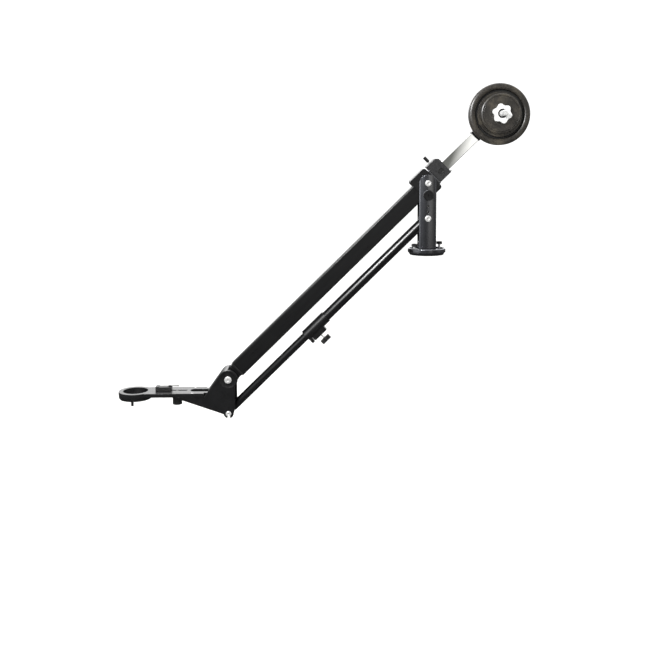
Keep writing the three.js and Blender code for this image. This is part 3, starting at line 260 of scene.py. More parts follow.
# Oiled dark steel on the grub screws: a deep grey with a soft shine.
dark_steel, tree, shader, place = surface("oiled_dark_steel", **{"Metallic": 1.0})
oil_film = grain(tree, place, 1.1, 3)
tint(tree, shader, oil_film, [(0.3, "#4e4e4e"), (0.7, "#626160")])
shine(tree, shader, oil_film, 0.28, 0.4)
relief(tree, shader, oil_film, 0.015, 0.4)

# Sintered bronze: warm and dull, with fine pores.
sintered_bronze, tree, shader, place = surface("sintered_bronze", **{"Metallic": 1.0})
pores = grain(tree, place, 0.5, 2)
tint(tree, shader, pores, [(0.3, "#8d6a3c"), (0.6, "#b08a52")])
shine(tree, shader, pores, 0.4, 0.55)
relief(tree, shader, pores, 0.02, 0.5)

# Natural acetal, greyed by grease: pale and waxy.
acetal, tree, shader, place = surface(
    "natural_acetal", **{"Metallic": 0.0, "IOR": 1.48, "Subsurface Weight": 0.05}
)
waxy = grain(tree, place, 3, 2)
tint(tree, shader, waxy, [(0.3, "#8a8a86"), (0.7, "#969692")])
shine(tree, shader, waxy, 0.35, 0.45)


# Shaping


def choose(*pieces):
    """Selects these pieces and nothing else. The last one is active."""
    bpy.ops.object.select_all(action="DESELECT")
    for piece in pieces:
        piece.select_set(True)
    if pieces:
        bpy.context.view_layer.objects.active = pieces[-1]


def clean(piece):
    """Merges doubled vertices and turns every face outwards."""
    choose(piece)
    bpy.ops.object.mode_set(mode="EDIT")
    bpy.ops.mesh.select_all(action="SELECT")
    bpy.ops.mesh.remove_doubles(threshold=0.004 * MM)
    bpy.ops.mesh.normals_make_consistent(inside=False)
    bpy.ops.object.mode_set(mode="OBJECT")
    return piece


def settle(piece, matrix):
    """Puts a piece at a place and keeps that place in its mesh."""
    choose(piece)
    piece.matrix_world = matrix @ piece.matrix_world
    bpy.ops.object.transform_apply(location=True, rotation=True, scale=True)
    return piece


def shaped(piece, kind, **settings):
    """Applies one modifier to a piece."""
    choose(piece)
    modifier = piece.modifiers.new(kind.title(), kind)
    for name, value in settings.items():
        setattr(modifier, name, value)
    bpy.ops.object.modifier_apply(modifier=modifier.name)
    return piece


def soften(piece, width, segments=2, angle=40, clamp=True):
    """Rounds the sharp edges of a piece."""
    return shaped(
        piece,
        "BEVEL",
        width=width * MM,
        segments=segments,
        limit_method="ANGLE",
        angle_limit=math.radians(angle),
        use_clamp_overlap=clamp,
    )


def cut(piece, *tools):
    """Takes tools away from a piece."""
    for tool in tools:
        shaped(piece, "BOOLEAN", operation="DIFFERENCE", solver="EXACT", object=tool)
        bpy.data.objects.remove(tool)
    return piece


def fuse(piece, *others):
    """Joins pieces that overlap into one skin."""
    for other in others:
        shaped(piece, "BOOLEAN", operation="UNION", solver="EXACT", object=other)
        bpy.data.objects.remove(other)
    return piece


def keep_inside(piece, limit):
    """Keeps only what a piece shares with its limit."""
    shaped(piece, "BOOLEAN", operation="INTERSECT", solver="EXACT", object=limit)
    bpy.data.objects.remove(limit)
    return piece


def moved(place, x=0, y=0, z=0):
    """A place moved by millimetres along its own axes."""
    return place @ Matrix.Translation((x * MM, y * MM, z * MM))


def shift(piece, x=0, y=0, z=0):
    """Moves a piece by millimetres."""
    return settle(piece, moved(level, x, y, z))


# How a piece drawn upright along Z is laid along another axis.
lay_flat = {
    "z": Matrix.Identity(4),
    "y": Matrix.Rotation(-math.pi / 2, 4, "X"),
    "x": Matrix(((0, 0, 1, 0), (1, 0, 0, 0), (0, 1, 0, 0), (0, 0, 0, 1))),
}
lay_outline = dict(lay_flat, y=Matrix.Rotation(math.pi / 2, 4, "X"))


def turned(profile, axis="z", sides=72):
    """A piece turned on a lathe from stations of radius and height along an axis."""
    pole = 0.002
    choose()
    radius, height = max(profile[0][0], pole), profile[0][1]
    bpy.ops.mesh.primitive_circle_add(
        vertices=sides, radius=radius * MM, fill_type="NOTHING", location=(0, 0, height * MM)
    )
    piece = bpy.context.object
    bpy.ops.object.mode_set(mode="EDIT")
    bpy.ops.mesh.select_all(action="SELECT")
    for station, rise in profile[1:]:
        bpy.ops.mesh.extrude_region_move(TRANSFORM_OT_translate={"value": (0, 0, (rise - height) * MM)})
        scale = max(station, pole) / radius
        bpy.ops.transform.resize(value=(scale, scale, 1), center_override=(0, 0, 0))
        radius, height = max(station, pole), rise
    bpy.ops.object.mode_set(mode="OBJECT")
    bpy.ops.object.transform_apply(location=True, rotation=True, scale=True)
    return settle(clean(piece), lay_flat[axis])


def rod(axis, radius, start, end, edge=0.0, sides=48):
    """A round bar along an axis, with its ends' edges rounded."""
    piece = turned([(0, start), (radius, start), (radius, end), (0, end)], axis, sides)
    return soften(piece, edge) if edge else piece


def stepped(steps, end, axis="z", sides=72):
    """A turned pin with steps. Each step is a radius and where it starts."""
    stations = []
    stops = [start for _, start in steps[1:]] + [end]
    for (radius, start), stop in zip(steps, stops):
        stations += [(radius, start), (radius, stop)]
    return turned([(0, steps[0][1]), *stations, (0, end)], axis, sides)


def headed(shank, head, tip, seat, top, chamfer, axis="z", sides=32):
    """A turned pin with a wider head, whose rim is cut back by a chamfer's width and height."""
    width, height = chamfer
    brim = top - math.copysign(height, top - tip)
    stem = [(0, tip), (shank, tip), (shank, seat)]
    return turned([*stem, (head, seat), (head, brim), (head - width, top), (0, top)], axis, sides)


def ring(axis, outer, inner, start, end, edge=0.3, sides=72):
    """A round tube along an axis."""
    stations = [(inner, start), (outer, start), (outer, end), (inner, end), (inner, start)]
    return soften(turned(stations, axis, sides), edge)


def box(x, y, z, edge=0.0, segments=2):
    """A block between two values on each axis, with its edges rounded."""
    choose()
    centre = [(low + high) / 2 * MM for low, high in (x, y, z)]
    size = [(high - low) * MM for low, high in (x, y, z)]
    bpy.ops.mesh.primitive_cube_add(size=1, location=centre, scale=size)
    bpy.ops.object.transform_apply(location=True, rotation=True, scale=True)
    piece = bpy.context.object
    return soften(piece, edge, segments) if edge else piece


def arc(x, y, radius, start, end, steps=12):
    """Points along an arc, with its angles in degrees."""
    angles = [math.radians(start + (end - start) * i / steps) for i in range(steps + 1)]
    return [(x + radius * math.cos(a), y + radius * math.sin(a)) for a in angles]


def rounded(corners, radius, steps=5):
    """The outline through some corners, with each corner rounded."""
    points = []
    radii = radius if isinstance(radius, (list, tuple)) else [radius] * len(corners)
    for i, reach in enumerate(radii):
        corner = Vector(corners[i])
        if reach == 0:
            points.append(tuple(corner))
            continue
        back = (Vector(corners[i - 1]) - corner).normalized()
        ahead = (Vector(corners[(i + 1) % len(corners)]) - corner).normalized()
        half = back.angle(ahead) / 2
        centre = corner + (back + ahead).normalized() * (reach / math.sin(half))
        first = corner + back * (reach / math.tan(half)) - centre
        last = corner + ahead * (reach / math.tan(half)) - centre
        start = math.atan2(first.y, first.x)
        sweep = math.atan2(last.y, last.x) - start
        sweep -= 2 * math.pi * round(sweep / (2 * math.pi))
        for k in range(steps + 1):
            angle = start + sweep * k / steps
            points.append((centre.x + reach * math.cos(angle), centre.y + reach * math.sin(angle)))
    return points


def rectangle(width, height, corner, x=0, y=0):
    """A rectangle's outline round a point, with its corners rounded."""
    w, h = width / 2, height / 2
    return rounded([(x - w, y - h), (x + w, y - h), (x + w, y + h), (x - w, y + h)], corner)


def lobes(radius, count, depth, steps=10):
    """The outline of a grip with round lobes."""
    points = []
    for i in range(count * steps):
        angle = 2 * math.pi * i / (count * steps)
        reach = radius - depth / 2 + depth / 2 * math.cos(count * angle)
        points.append((reach * math.cos(angle), reach * math.sin(angle)))
    return points


def hexagon(radius):
    """A hexagon's outline."""
    return arc(0, 0, radius, 0, 300, 5)


def plate(axis, outline, start, end, edge=0.4, holes=(), rounds=2):
    """A flat outline with holes, drawn out along an axis, with its edges rounded."""
    curve = bpy.data.curves.new("outline", "CURVE")
    curve.dimensions = "2D"
    curve.fill_mode = "BOTH"
    for i, loop in enumerate([outline, *holes]):
        area = sum(a[0] * b[1] - b[0] * a[1] for a, b in zip(loop, [*loop[1:], loop[0]]))
        ordered = loop if (area > 0) == (i == 0) else loop[::-1]
        spline = curve.splines.new("POLY")
        spline.points.add(len(ordered) - 1)
        for point, (x, y) in zip(spline.points, ordered):
            point.co = (x * MM, y * MM, 0, 1)
        spline.use_cyclic_u = True
    curve.extrude = (abs(end - start) / 2 - edge) * MM
    curve.bevel_depth = edge * MM
    curve.bevel_resolution = rounds
    curve.offset = -edge * MM
    piece = bpy.data.objects.new("outline", curve)
    bpy.context.scene.collection.objects.link(piece)
    choose(piece)
    bpy.ops.object.convert(target="MESH")
    piece = bpy.context.object
    clean(piece)
    middle = (start + end) / 2 * MM
    offset = {"x": (middle, 0, 0), "y": (0, middle, 0), "z": (0, 0, middle)}[axis]
    return settle(piece, Matrix.Translation(offset) @ lay_outline[axis])


def hand_over(piece, name, body, material, matrix=level, stands_for=None, angle=32):
    """Names a finished piece, sets it into the crane, and lets it move with its body."""
    settle(piece, matrix)
    piece.name = name
    piece.data.name = name
    piece.data.materials.clear()
    piece.data.materials.append(material)
    choose(piece)
    bpy.ops.object.shade_smooth_by_angle(angle=math.radians(angle))
    shaped(piece, "WEIGHTED_NORMAL", keep_sharp=True)
    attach(piece, body)
    if stands_for != "":
        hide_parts(stands_for or name)
    return piece


# Base

spindle, spindle_top = 8, 15.3
shoulder, shoulder_top = 11, 12.9
bush_radius = 13.5


def make_base():
    foot, rim, recess, hollow = 51, 57, 52, 4.8
    floor, top = 8, 20
    flange = turned(
        [
            (hollow, 0),
            (foot, 0),
            (rim - 2, floor),
            (rim, floor),
            (rim, top - 1.5),
            (rim - 1.5, top),
            (recess, top),
            (recess, floor),
            (shoulder, floor),
            (shoulder, shoulder_top),
            (spindle, shoulder_top),
            (spindle, spindle_top),
            (hollow, spindle_top),
            (hollow, 0),
        ],
        sides=128,
    )
    soften(flange, 0.5, angle=30)
    hand_over(flange, "base_flange", "base", grey_anodised)
    washer_radius = 39.5
    washer = ring("z", washer_radius, bush_radius, floor + gap, disc_bottom - gap)
    hand_over(washer, "thrust_washer", "base", acetal)
    tip, seat, collar, hexagon_radius = 8.8, spindle_top + gap, 1.8, 7
    head = stepped([(hollow - gap, tip), (shoulder, seat)], seat + collar)
    soften(head, 0.3)
    fuse(head, plate("z", hexagon(hexagon_radius), seat + 1.4, seat + 6.3, 0.3))
    hand_over(head, "pan_retaining_screw", "base", bright_zinc)


# Column

# Each pan knob's place across the turntable, and the height of its underside
pan_knobs = {"pan_lock": (-39, -20, 26), "pan_drag": (41, 20, 29.5)}
# How far each foot screw stands to the side, and how far below the boom's pivot each grub screw is
foot_screws = {"column_foot_screw_1": -20, "column_foot_screw_2": 20}
grub_screws = {"upper_grub_screw": 69, "lower_grub_screw": 87}
foot_screw_top = 27.1
grub_radius = 3
pan_stem = 3.5
slot_half = 23
lock_height = 181


def column_section(corner):
    """The column's section: flat sides, and outer faces that bulge as shallow arcs."""
    x, y, turn = column_width / 2, column_depth / 2, 50
    radius = (x * x + column_bulge**2) / (2 * column_bulge)
    half = math.degrees(math.asin((x - corner) / radius))
    front = arc(0, radius - y, radius, 270 - half, 270 + half, 14)
    back = arc(0, y - radius, radius, 90 - half, 90 + half, 14)
    edge_y = -front[0][1]
    side = edge_y - corner * 1.4
    right = arc(x - corner, -side, corner, -turn, 0, 3) + arc(x - corner, side, corner, 0, turn, 3)
    left = arc(corner - x, side, corner, 180 - turn, 180, 3)
    left += arc(corner - x, -side, corner, 180, 180 + turn, 3)
    return front + right + back + left


def make_turntable():
    over, rim, step, counterbore = 5, 51, shoulder_top + gap, 4.8
    stations = [
        (bush_radius + gap, disc_bottom),
        (rim, disc_bottom),
        (rim, disc_top),
        (spindle + gap, disc_top),
        (spindle + gap, step),
        (bush_radius + gap, step),
        (bush_radius + gap, disc_bottom),
    ]
    disc = turned(stations, sides=128)
    low, high = disc_bottom - over, disc_top + over
    for x, y, _ in pan_knobs.values():
        cut(disc, shift(rod("z", pan_stem + gap, low, high), x, y))
    for x in foot_screws.values():
        bore = rod("z", long_screw + gap, low, high)
        cut(disc, shift(bore, x), shift(rod("z", counterbore, low, step), x))
    soften(disc, 0.3, clamp=False)
    hand_over(disc, "turntable_disc", "column", grey_anodised)
    bush = ring("z", bush_radius, shoulder + gap, disc_bottom, shoulder_top, 0.2)
    hand_over(bush, "pan_bush", "column", sintered_bronze)


def make_column():
    x, y, over = column_width / 2, column_depth / 2, 5
    slot_floor, grub_depth, lock_bore, pocket, pocket_top = 40, 10, 4.3, 13, 24.3
    fork = plate("z", column_section(3), fork_bottom, tilt_height + x, 0.4)
    wide = x + over
    crown = arc(0, tilt_height, x, 0, 180, 36)[1:-1]
    arch = [(wide, 0), (wide, tilt_height), *crown, (-wide, tilt_height), (-wide, 0)]
    keep_inside(fork, plate("y", arch, -y - over, y + over, 0))
    cut(
        fork,
        box((-x - over, x + over), (-slot_half, slot_half), (slot_floor, tilt_height + x + over)),
        shift(rod("y", boom_bolt + gap, -y - over, y + over), z=tilt_height),
        shift(rod("y", rod_bolt + gap, -y - over, y + over), z=rod_height),
        shift(rod("y", lock_bore, -y - over, 0), z=lock_height),
        *[
            shift(rod("y", grub_radius + gap, -y - over, grub_depth - y), z=tilt_height - drop)
            for drop in grub_screws.values()
        ],
        rod("z", pocket, fork_bottom - over, pocket_top),
        *[
            shift(rod("z", long_screw + gap, fork_bottom - over, foot_screw_top + gap), place)
            for place in foot_screws.values()
        ],
    )
    soften(fork, 0.9, 3, 45, clamp=False)
    hand_over(fork, "column_fork", "column", grey_anodised)


def make_column_screws():
    y, low, head = column_depth / 2, disc_bottom + gap, 4.5
    for name, x in foot_screws.items():
        screw = stepped([(head, low), (long_screw, shoulder_top)], foot_screw_top, sides=32)
        cut(screw, plate("z", hexagon(1.7), low - 1.1, low + 1.7, 0))
        hand_over(shift(soften(screw, 0.25), x), name, "column", bright_zinc)
    grub_end, socket_end = 4.7 - y, 2.5 - y
    for name, drop in grub_screws.items():
        screw = rod("y", grub_radius, gap - y, grub_end, 0.35, 32)
        cut(screw, plate("y", hexagon(1.5), -y - 1, socket_end, 0))
        hand_over(shift(screw, z=tilt_height - drop), name, "column", dark_steel)


def pivot_bolt(radius, head, seat):
    """A button-headed bolt along Y with a hexagon socket. Its head is on the near side."""
    base, brim, crown, past_nut, chamfer = -seat - gap, 1.6, 4.4, 2.5, 0.7
    socket, socket_floor = 4, base - 2.5
    dome = [
        (head * math.cos(math.radians(9 * k)) ** 0.8, base - brim - crown * math.sin(math.radians(15 * k)))
        for k in range(7)
    ]
    tip = seat + 2 * gap + nut_height + past_nut
    shank = [(0, tip), (radius - chamfer, tip), (radius, tip - chamfer), (radius, base)]
    bolt = turned([*shank, (head, base), *dome, (0, dome[-1][1])], "y")
    cut(bolt, plate("y", hexagon(socket), base - 8, socket_floor, 0))
    return soften(bolt, 0.25, 2, 50, clamp=False)


def pivot_nut(radius, seat):
    """The nut on the far end of a bolt, with its corners turned down."""
    low, high, corner, chamfer = seat + gap, seat + gap + nut_height, 10.6, 1.1
    nut = plate("y", hexagon(10.5), low, high, 0.2)
    limit = [
        (0, seat),
        (corner - 1, low),
        (corner, low + chamfer),
        (corner, high - chamfer),
        (corner - chamfer, high),
        (0, high + gap),
    ]
    keep_inside(nut, turned(limit, "y"))
    return cut(nut, rod("y", radius + gap, seat - 2, high + 4))


def make_pivot_bolts():
    far = column_depth / 2
    pivots = (
        ("tilt_pivot", boom_bolt, 9.5, tilt_height, far, "column", level),
        ("rod_rear", rod_bolt, 9.5, rod_height, far, "column", level),
        ("head_pivot", boom_bolt, 11, 0, head_half, "head", head_place),
        ("rod_front", rod_bolt, 8.5, -link_spacing, head_half, "head", head_place),
    )
    for name, radius, head, height, seat, body, place in pivots:
        bolt = shift(pivot_bolt(radius, head, seat), z=height)
        hand_over(bolt, name + "_bolt", body, bright_zinc, place)
        nut = shift(pivot_nut(radius, seat), z=height)
        hand_over(nut, name + "_nut", body, bright_zinc, place)


def make_column_knobs():
    stem_foot, cap_height = 8.3, 8.5
    for body, (x, y, low) in pan_knobs.items():
        top = low + cap_height
        cap = plate("z", lobes(9, 18, 0.5, 6), low, top, 1.1, rounds=3)
        cut(cap, turned([(0, top - 0.9), (5.2, top - 0.9), (6, top + 0.5), (0, top + 0.5)], sides=48))
        hand_over(shift(cap, x, y), body + "_knob", body, black_nylon)
        stem = rod("z", pan_stem, stem_foot, low + gap, 0.2, 40)
        hand_over(shift(stem, x, y), body + "_knob_stem", body, bright_zinc, stands_for="")
    face, back, boss_end = -45.3, -32.3, -30.4
    knob = plate("y", lobes(16, 24, 0.9, 6), face, back, 1.2, rounds=3)
    dish = [(0, face + 1.4), (10.5, face + 1.4), (12, face - 0.7), (0, face - 0.7)]
    cut(knob, turned(dish, "y"), rod("y", 3.5, face - 5, face + 6))
    fuse(knob, stepped([(3.9, gap - slot_half), (8, boss_end)], back - 0.7, "y", 48))
    hand_over(shift(knob, z=lock_height), "tilt_lock_knob", "tilt_lock", cast_black)


# Boom

arm_width, arm_height, arm_corner = 36, 50, 4
arm_rear, arm_front, arm_wall = 14, -805.5, 2
slide_width, slide_height, slide_corner = 29, 43, 3
bar_half = 15
arm_lock_x, arm_lock_seat = -763.5, 21
thumb_x, thumb_stem = 47.3, 3
plug_x, plug_radius = 54, 9
# Where the two long clamp screws run, across and up
clamp_screws = ((-12, -20), (12, 20))


def make_pivot_block():
    front, rear, low, high, over = -38, 24.5, -38.5, 41.5, 5
    outline = rounded([(front, low), (rear, low), (rear, high), (front, high)], [2, 8.5, 8.5, 8.5], 8)
    block = plate("y", outline, -eye_half, eye_half, 1.2, rounds=3)
    pocket = rectangle(arm_width + 2 * gap, arm_height + 2 * gap, arm_corner)
    hole = (-bar_half - gap, bar_half + gap)
    cut(
        block,
        plate("x", pocket, front - over, arm_rear + gap, 0),
        box((0, rear + over), hole, hole),
        rod("y", sleeve_radius + gap, -eye_half - over, eye_half + over),
    )
    for y, z in clamp_screws:
        cut(block, shift(rod("x", long_screw + gap, arm_rear + 3, rear + over), 0, y, z))
    hand_over(block, "pivot_block", "boom", cast_black, boom_place)
    sleeve = ring("y", sleeve_radius, boom_bolt + gap, -eye_half, eye_half)
    hand_over(sleeve, "tilt_sleeve", "boom", sintered_bronze, boom_place)


def make_outer_arm():
    section = rectangle(arm_width, arm_height, arm_corner)
    inside = (arm_width - 2 * arm_wall, arm_height - 2 * arm_wall)
    tube = plate("x", section, arm_front, arm_rear, 0.5, [rectangle(*inside, 2.4)])
    boss_radius, screw_bore, reach = 8, 3.8, 40
    fuse(tube, shift(rod("y", boss_radius, arm_width / 2 - 1, arm_lock_seat, 0.5), arm_lock_x))
    cut(
        tube,
        rod("y", sleeve_radius + gap, -reach, reach),
        shift(rod("y", screw_bore, 0, reach), arm_lock_x),
    )
    hand_over(tube, "arm_outer_tube", "boom", black_anodised, boom_place)
    bore = rectangle(slide_width + 2 * gap, slide_height + 2 * gap, slide_corner + gap)
    lip = plate("x", section, arm_front - 4.8, arm_front - gap, 0.9, [bore])
    skin = rectangle(inside[0] - 2 * gap, inside[1] - 2 * gap, 2)
    lining = plate("x", skin, arm_front - 1.5, arm_front + 30, 0.2, [bore])
    hand_over(fuse(lip, lining), "arm_guide_bush", "boom", black_nylon, boom_place)


def make_boom_knobs():
    low, thickness = arm_lock_seat + gap, 14
    high = low + thickness
    knob = plate("y", lobes(14, 5, 2.3, 12), low, high, 2.2, rounds=4)
    button = [(0, high - 0.8), (6, high - 0.8), (6, high + 0.3), (0, high + 0.7)]
    fuse(knob, rod("y", 3.5, 14.8, low + 2.7), turned(button, "y", 40))
    hand_over(knob, "arm_lock_knob", "arm_lock", black_nylon, moved(boom_place, arm_lock_x))
    grip_low, grip_top = 43, 62
    grip = plate("z", lobes(5, 10, 0.7, 6), grip_low, grip_top, 0.6)
    place = moved(boom_place, thumb_x)
    hand_over(grip, "bar_thumb_screw", "bar_thumb", black_nylon, place)
    stem = rod("z", thumb_stem, bar_half + gap, grip_low + gap, 0.2, 32)
    hand_over(stem, "bar_thumb_stem", "bar_thumb", bright_zinc, place, "")


def make_weight_clamp():
    side, neck_start = 2 * (bar_half + gap), 24.8
    bore = rectangle(side, side, 0.6)
    start, end, low, high, half = 30.3, 74, -24.75, 37.75, 22
    neck = plate("x", rectangle(40, 54, 3), neck_start, start - gap, 0.5, [bore])
    corners = [(start, low), (end, low), (end, high - 8), (end - 8, high), (start, high)]
    clamp = plate("y", rounded(corners, [1.6, 1.6, 3, 3, 1.6]), -half, half, 1.2, rounds=3)
    over, plug_back, split_start = 5, -17, 10
    cut(
        clamp,
        plate("x", bore, start - over, end + over, 0),
        shift(rod("z", thumb_stem + gap, 0, high + over), thumb_x),
        shift(rod("y", plug_radius + gap, -half - over, plug_back), plug_x),
        box((start - over, end + over), (split_start, half + over), (-1, 1)),
    )
    tip, seat, top, head = 17.3, end + gap, 78.3, 4.2
    for i, (y, z) in enumerate(clamp_screws):
        for part in (neck, clamp):
            cut(part, shift(rod("x", long_screw + gap, neck_start - over, end + over), 0, y, z))
        screw = headed(long_screw, head, tip, seat, top, (0.3, 0.3), "x")
        cut(screw, plate("x", hexagon(2), seat + 1.7, top + 1.7, 0))
        hand_over(screw, f"clamp_screw_{i + 1}", "boom", bright_zinc, moved(boom_place, 0, y, z))
    hand_over(neck, "neck_plate", "boom", grey_anodised, boom_place)
    hand_over(clamp, "weight_bar_clamp", "boom", worn_black, boom_place)
    back, face, dished = plug_back - gap, -half - 0.1, 0.4 - half
    stations = [
        (0, back),
        (plug_radius, back),
        (plug_radius, face),
        (plug_radius - 1.6, face - 0.2),
        (plug_radius - 2.4, dished),
        (0, dished),
    ]
    plug = soften(turned(stations, "y"), 0.25)
    hand_over(plug, "clamp_side_plug", "boom", black_nylon, moved(boom_place, plug_x))


# Weights

shaft_radius = 8


def make_weight_bar():
    start, end, wall, reach = 15, 306, 2.5, 40
    side, inside = 2 * bar_half, 2 * (bar_half - wall)
    bar = plate("x", rectangle(side, side, 1.5), start, end, 0.3, [rectangle(inside, inside, 1)])
    cut(bar, shift(rod("y", shaft_radius + gap, -reach, reach), shaft_reach))
    hand_over(bar, "weight_bar", "weight_carriage", polished_steel, boom_place)
    block_start, block_end, boss_face, boss_radius = 197, 310, -23.2, 20
    block = plate("x", rectangle(37, 34, 2), block_start, block_end, 0.8)
    fuse(block, shift(rod("y", boss_radius, boss_face, -9, 0.6, 64), shaft_reach))
    hole = (-bar_half - gap, bar_half + gap)
    cut(
        block,
        box((block_start - 7, end + gap), hole, hole),
        shift(rod("y", shaft_radius + gap, -reach, reach), shaft_reach),
    )
    hand_over(block, "weight_shaft_block", "weight_carriage", cast_black, boom_place)


def make_weight_shaft(place):
    far, tip, root, pitch, thread_start, plain_end = 29.8, -130, 7.1, 2, -69.4, -67
    threads = []
    for i in range(29):
        crest = thread_start - pitch * i
        threads += [(shaft_radius, crest), (root, crest - pitch / 2)]
    stations = [(0, far), (shaft_radius - 1, far), (shaft_radius, far - 1), (shaft_radius, plain_end)]
    stations += [*threads, (7.4, tip + 1.6), (6.6, tip), (0, tip)]
    hand_over(turned(stations, "y", 64), "weight_shaft", "weight_carriage", bright_zinc, place)
    nut = plate("y", hexagon(14), 18.8, 27.8, 0.4)
    cut(nut, rod("y", shaft_radius + gap, 10, 40))
    hand_over(nut, "weight_shaft_nut", "weight_carriage", bright_zinc, place)


def make_large_weight(place):
    back, face, bore, hub = -23.5, -49.5, shaft_radius + gap, 20
    rim, rim_width, rim_depth = 90.5, 19.5, 5
    middle, floor = rim - rim_width / 2, face + 0.2
    rolled_rim = [
        (middle + rim_width / 2 * math.cos(angle), face + rim_depth * (1 - math.sin(angle)))
        for angle in (math.radians(degrees) for degrees in range(0, 141, 10))
    ]
    stations = [
        (bore, back),
        (hub, back),
        (hub, back - 5),
        (71, back - 5),
        (73.5, back),
        (87, back),
        (rim, back - 3),
        *rolled_rim,
        (73, face + 2.4),
        (72.6, face + 11.5),
        (66.5, face + 11.5),
        (66, face + 1.6),
        (58, face + 1.6),
        (57.6, floor),
        (bore, floor),
        (bore, back),
    ]
    large = soften(turned(stations, "y", 160), 0.35, 2, 35)
    hand_over(large, "large_weight", "weight_carriage", iron_paint, place)
    # A thin black ring on the floor of the rim's groove: painted shade, so the groove reads as deep shadow.
    band = ring("y", 72.2, 66.8, face + 10.6, face + 11.3, 0.1, 128)
    hand_over(band, "large_weight_groove_shade", "weight_carriage", black_nylon, place, "")


def make_small_weight(place):
    back, face, bore, rim = -49.8, -69.2, shaft_radius + gap, 59.5
    stations = [
        (bore, back),
        (rim - 2, back),
        (rim, back - 2),
        (rim, face + 3.6),
        (58.7, face + 1.6),
        (57, face + 0.4),
        (54.8, face),
        (53.6, face),
        (52.9, face + 1.5),
        (51.7, face + 1.5),
        (51, face + 0.4),
        (17.5, face + 0.4),
        (16.2, face),
        (bore, face),
        (bore, back),
    ]
    small = soften(turned(stations, "y", 144), 0.25, 2, 40)
    hand_over(small, "small_weight", "weight_carriage", iron_paint, place)
    washer = ring("y", 15, bore, face - 2.5, face - gap, 0.3)
    hand_over(washer, "weight_washer", "weight_carriage", bright_zinc, place)


def make_star_knob(place):
    near, back, hub_back, counterbore_floor, counterbore_radius = -88, -73.2, -72, -76, 13
    star = plate("y", lobes(29, 6, 5.5, 14), near, back, 2.2, rounds=5)
    fuse(star, turned([(0, hub_back), (15, hub_back), (15, -75), (0, -75)], "y", 64))
    bore = [
        (0, counterbore_floor),
        (counterbore_radius, counterbore_floor),
        (counterbore_radius, near + 2),
        (counterbore_radius + 1.5, near - 0.5),
        (0, near - 0.5),
    ]
    cut(star, rod("y", shaft_radius + gap, -95, -65), turned(bore, "y", 64))
    hand_over(star, "weight_star_knob", "weight_star", bright_casting, place)
    # A black ring at the floor of the knob's counterbore: painted shade, darkening the recess round the
    # shaft.
    recess_shade = ring("y", counterbore_radius - 0.2, 8.5, counterbore_floor - 3, counterbore_floor - 0.2, 0.4)
    hand_over(recess_shade, "weight_star_recess_shade", "weight_star", black_nylon, place, "")


# Inner arm


def make_inner_arm():
    front, rear, wall, eye_radius = -822.5, -60, 2, 20
    inside = rectangle(slide_width - 2 * wall, slide_height - 2 * wall, 1.8)
    tube = plate("x", rectangle(slide_width, slide_height, slide_corner), front, rear, 0.4, [inside])
    hand_over(tube, "arm_inner_tube", "inner_arm", black_anodised, boom_place)
    plug_end, neck_height, plug_height = -790.5, 30, 38.4
    eye = shift(rod("y", eye_radius, -head_eye_half, head_eye_half, 0.8, 72), -arm_length)
    neck = plate("x", rectangle(24, neck_height, 1.5), -arm_length, plug_end - 0.5, 0.3)
    fuse(eye, neck, plate("x", rectangle(24.4, plug_height, 1.5), front, plug_end, 0.3))
    cut(eye, shift(rod("y", sleeve_radius + gap, -50, 50), -arm_length))
    hand_over(eye, "arm_end_eye", "inner_arm", cast_black, boom_place)
    sleeve = ring("y", sleeve_radius, boom_bolt + gap, -head_eye_half, head_eye_half)
    hand_over(shift(sleeve, -arm_length), "head_sleeve", "inner_arm", sintered_bronze, boom_place)


# Head

boss = 29
slant = math.radians(54.3)
platform_top = -41
platform_bottom = -53
cheek_middle = (head_half + head_gap_half) / 2
platform_screw_x = -110
camera_screw_x = -161
latch_screw_x = -210
latch_pivot_x = -182.5
peg_place, peg_top = (-289.8, -45.4), -57


def slant_x(height, distance):
    """Where the slanted front edge is at a height, for a distance off the pivot."""
    return (distance - height * math.cos(slant)) / -math.sin(slant)


def cheek_outline():
    gusset_tip, tip_depth, lower_boss, rear_x, rear_low = -161, 2.5, 15.5, 20, 14 - link_spacing
    top = platform_bottom - gap
    rear = -math.degrees(math.acos(rear_x / boss))
    return [
        (gusset_tip, top),
        (gusset_tip, top - tip_depth),
        *arc(0, -link_spacing, lower_boss, 188.9, 360, 16),
        (rear_x, rear_low),
        *arc(0, 0, boss, rear, 90 + math.degrees(slant), 24),
        (slant_x(top, boss), top),
    ]


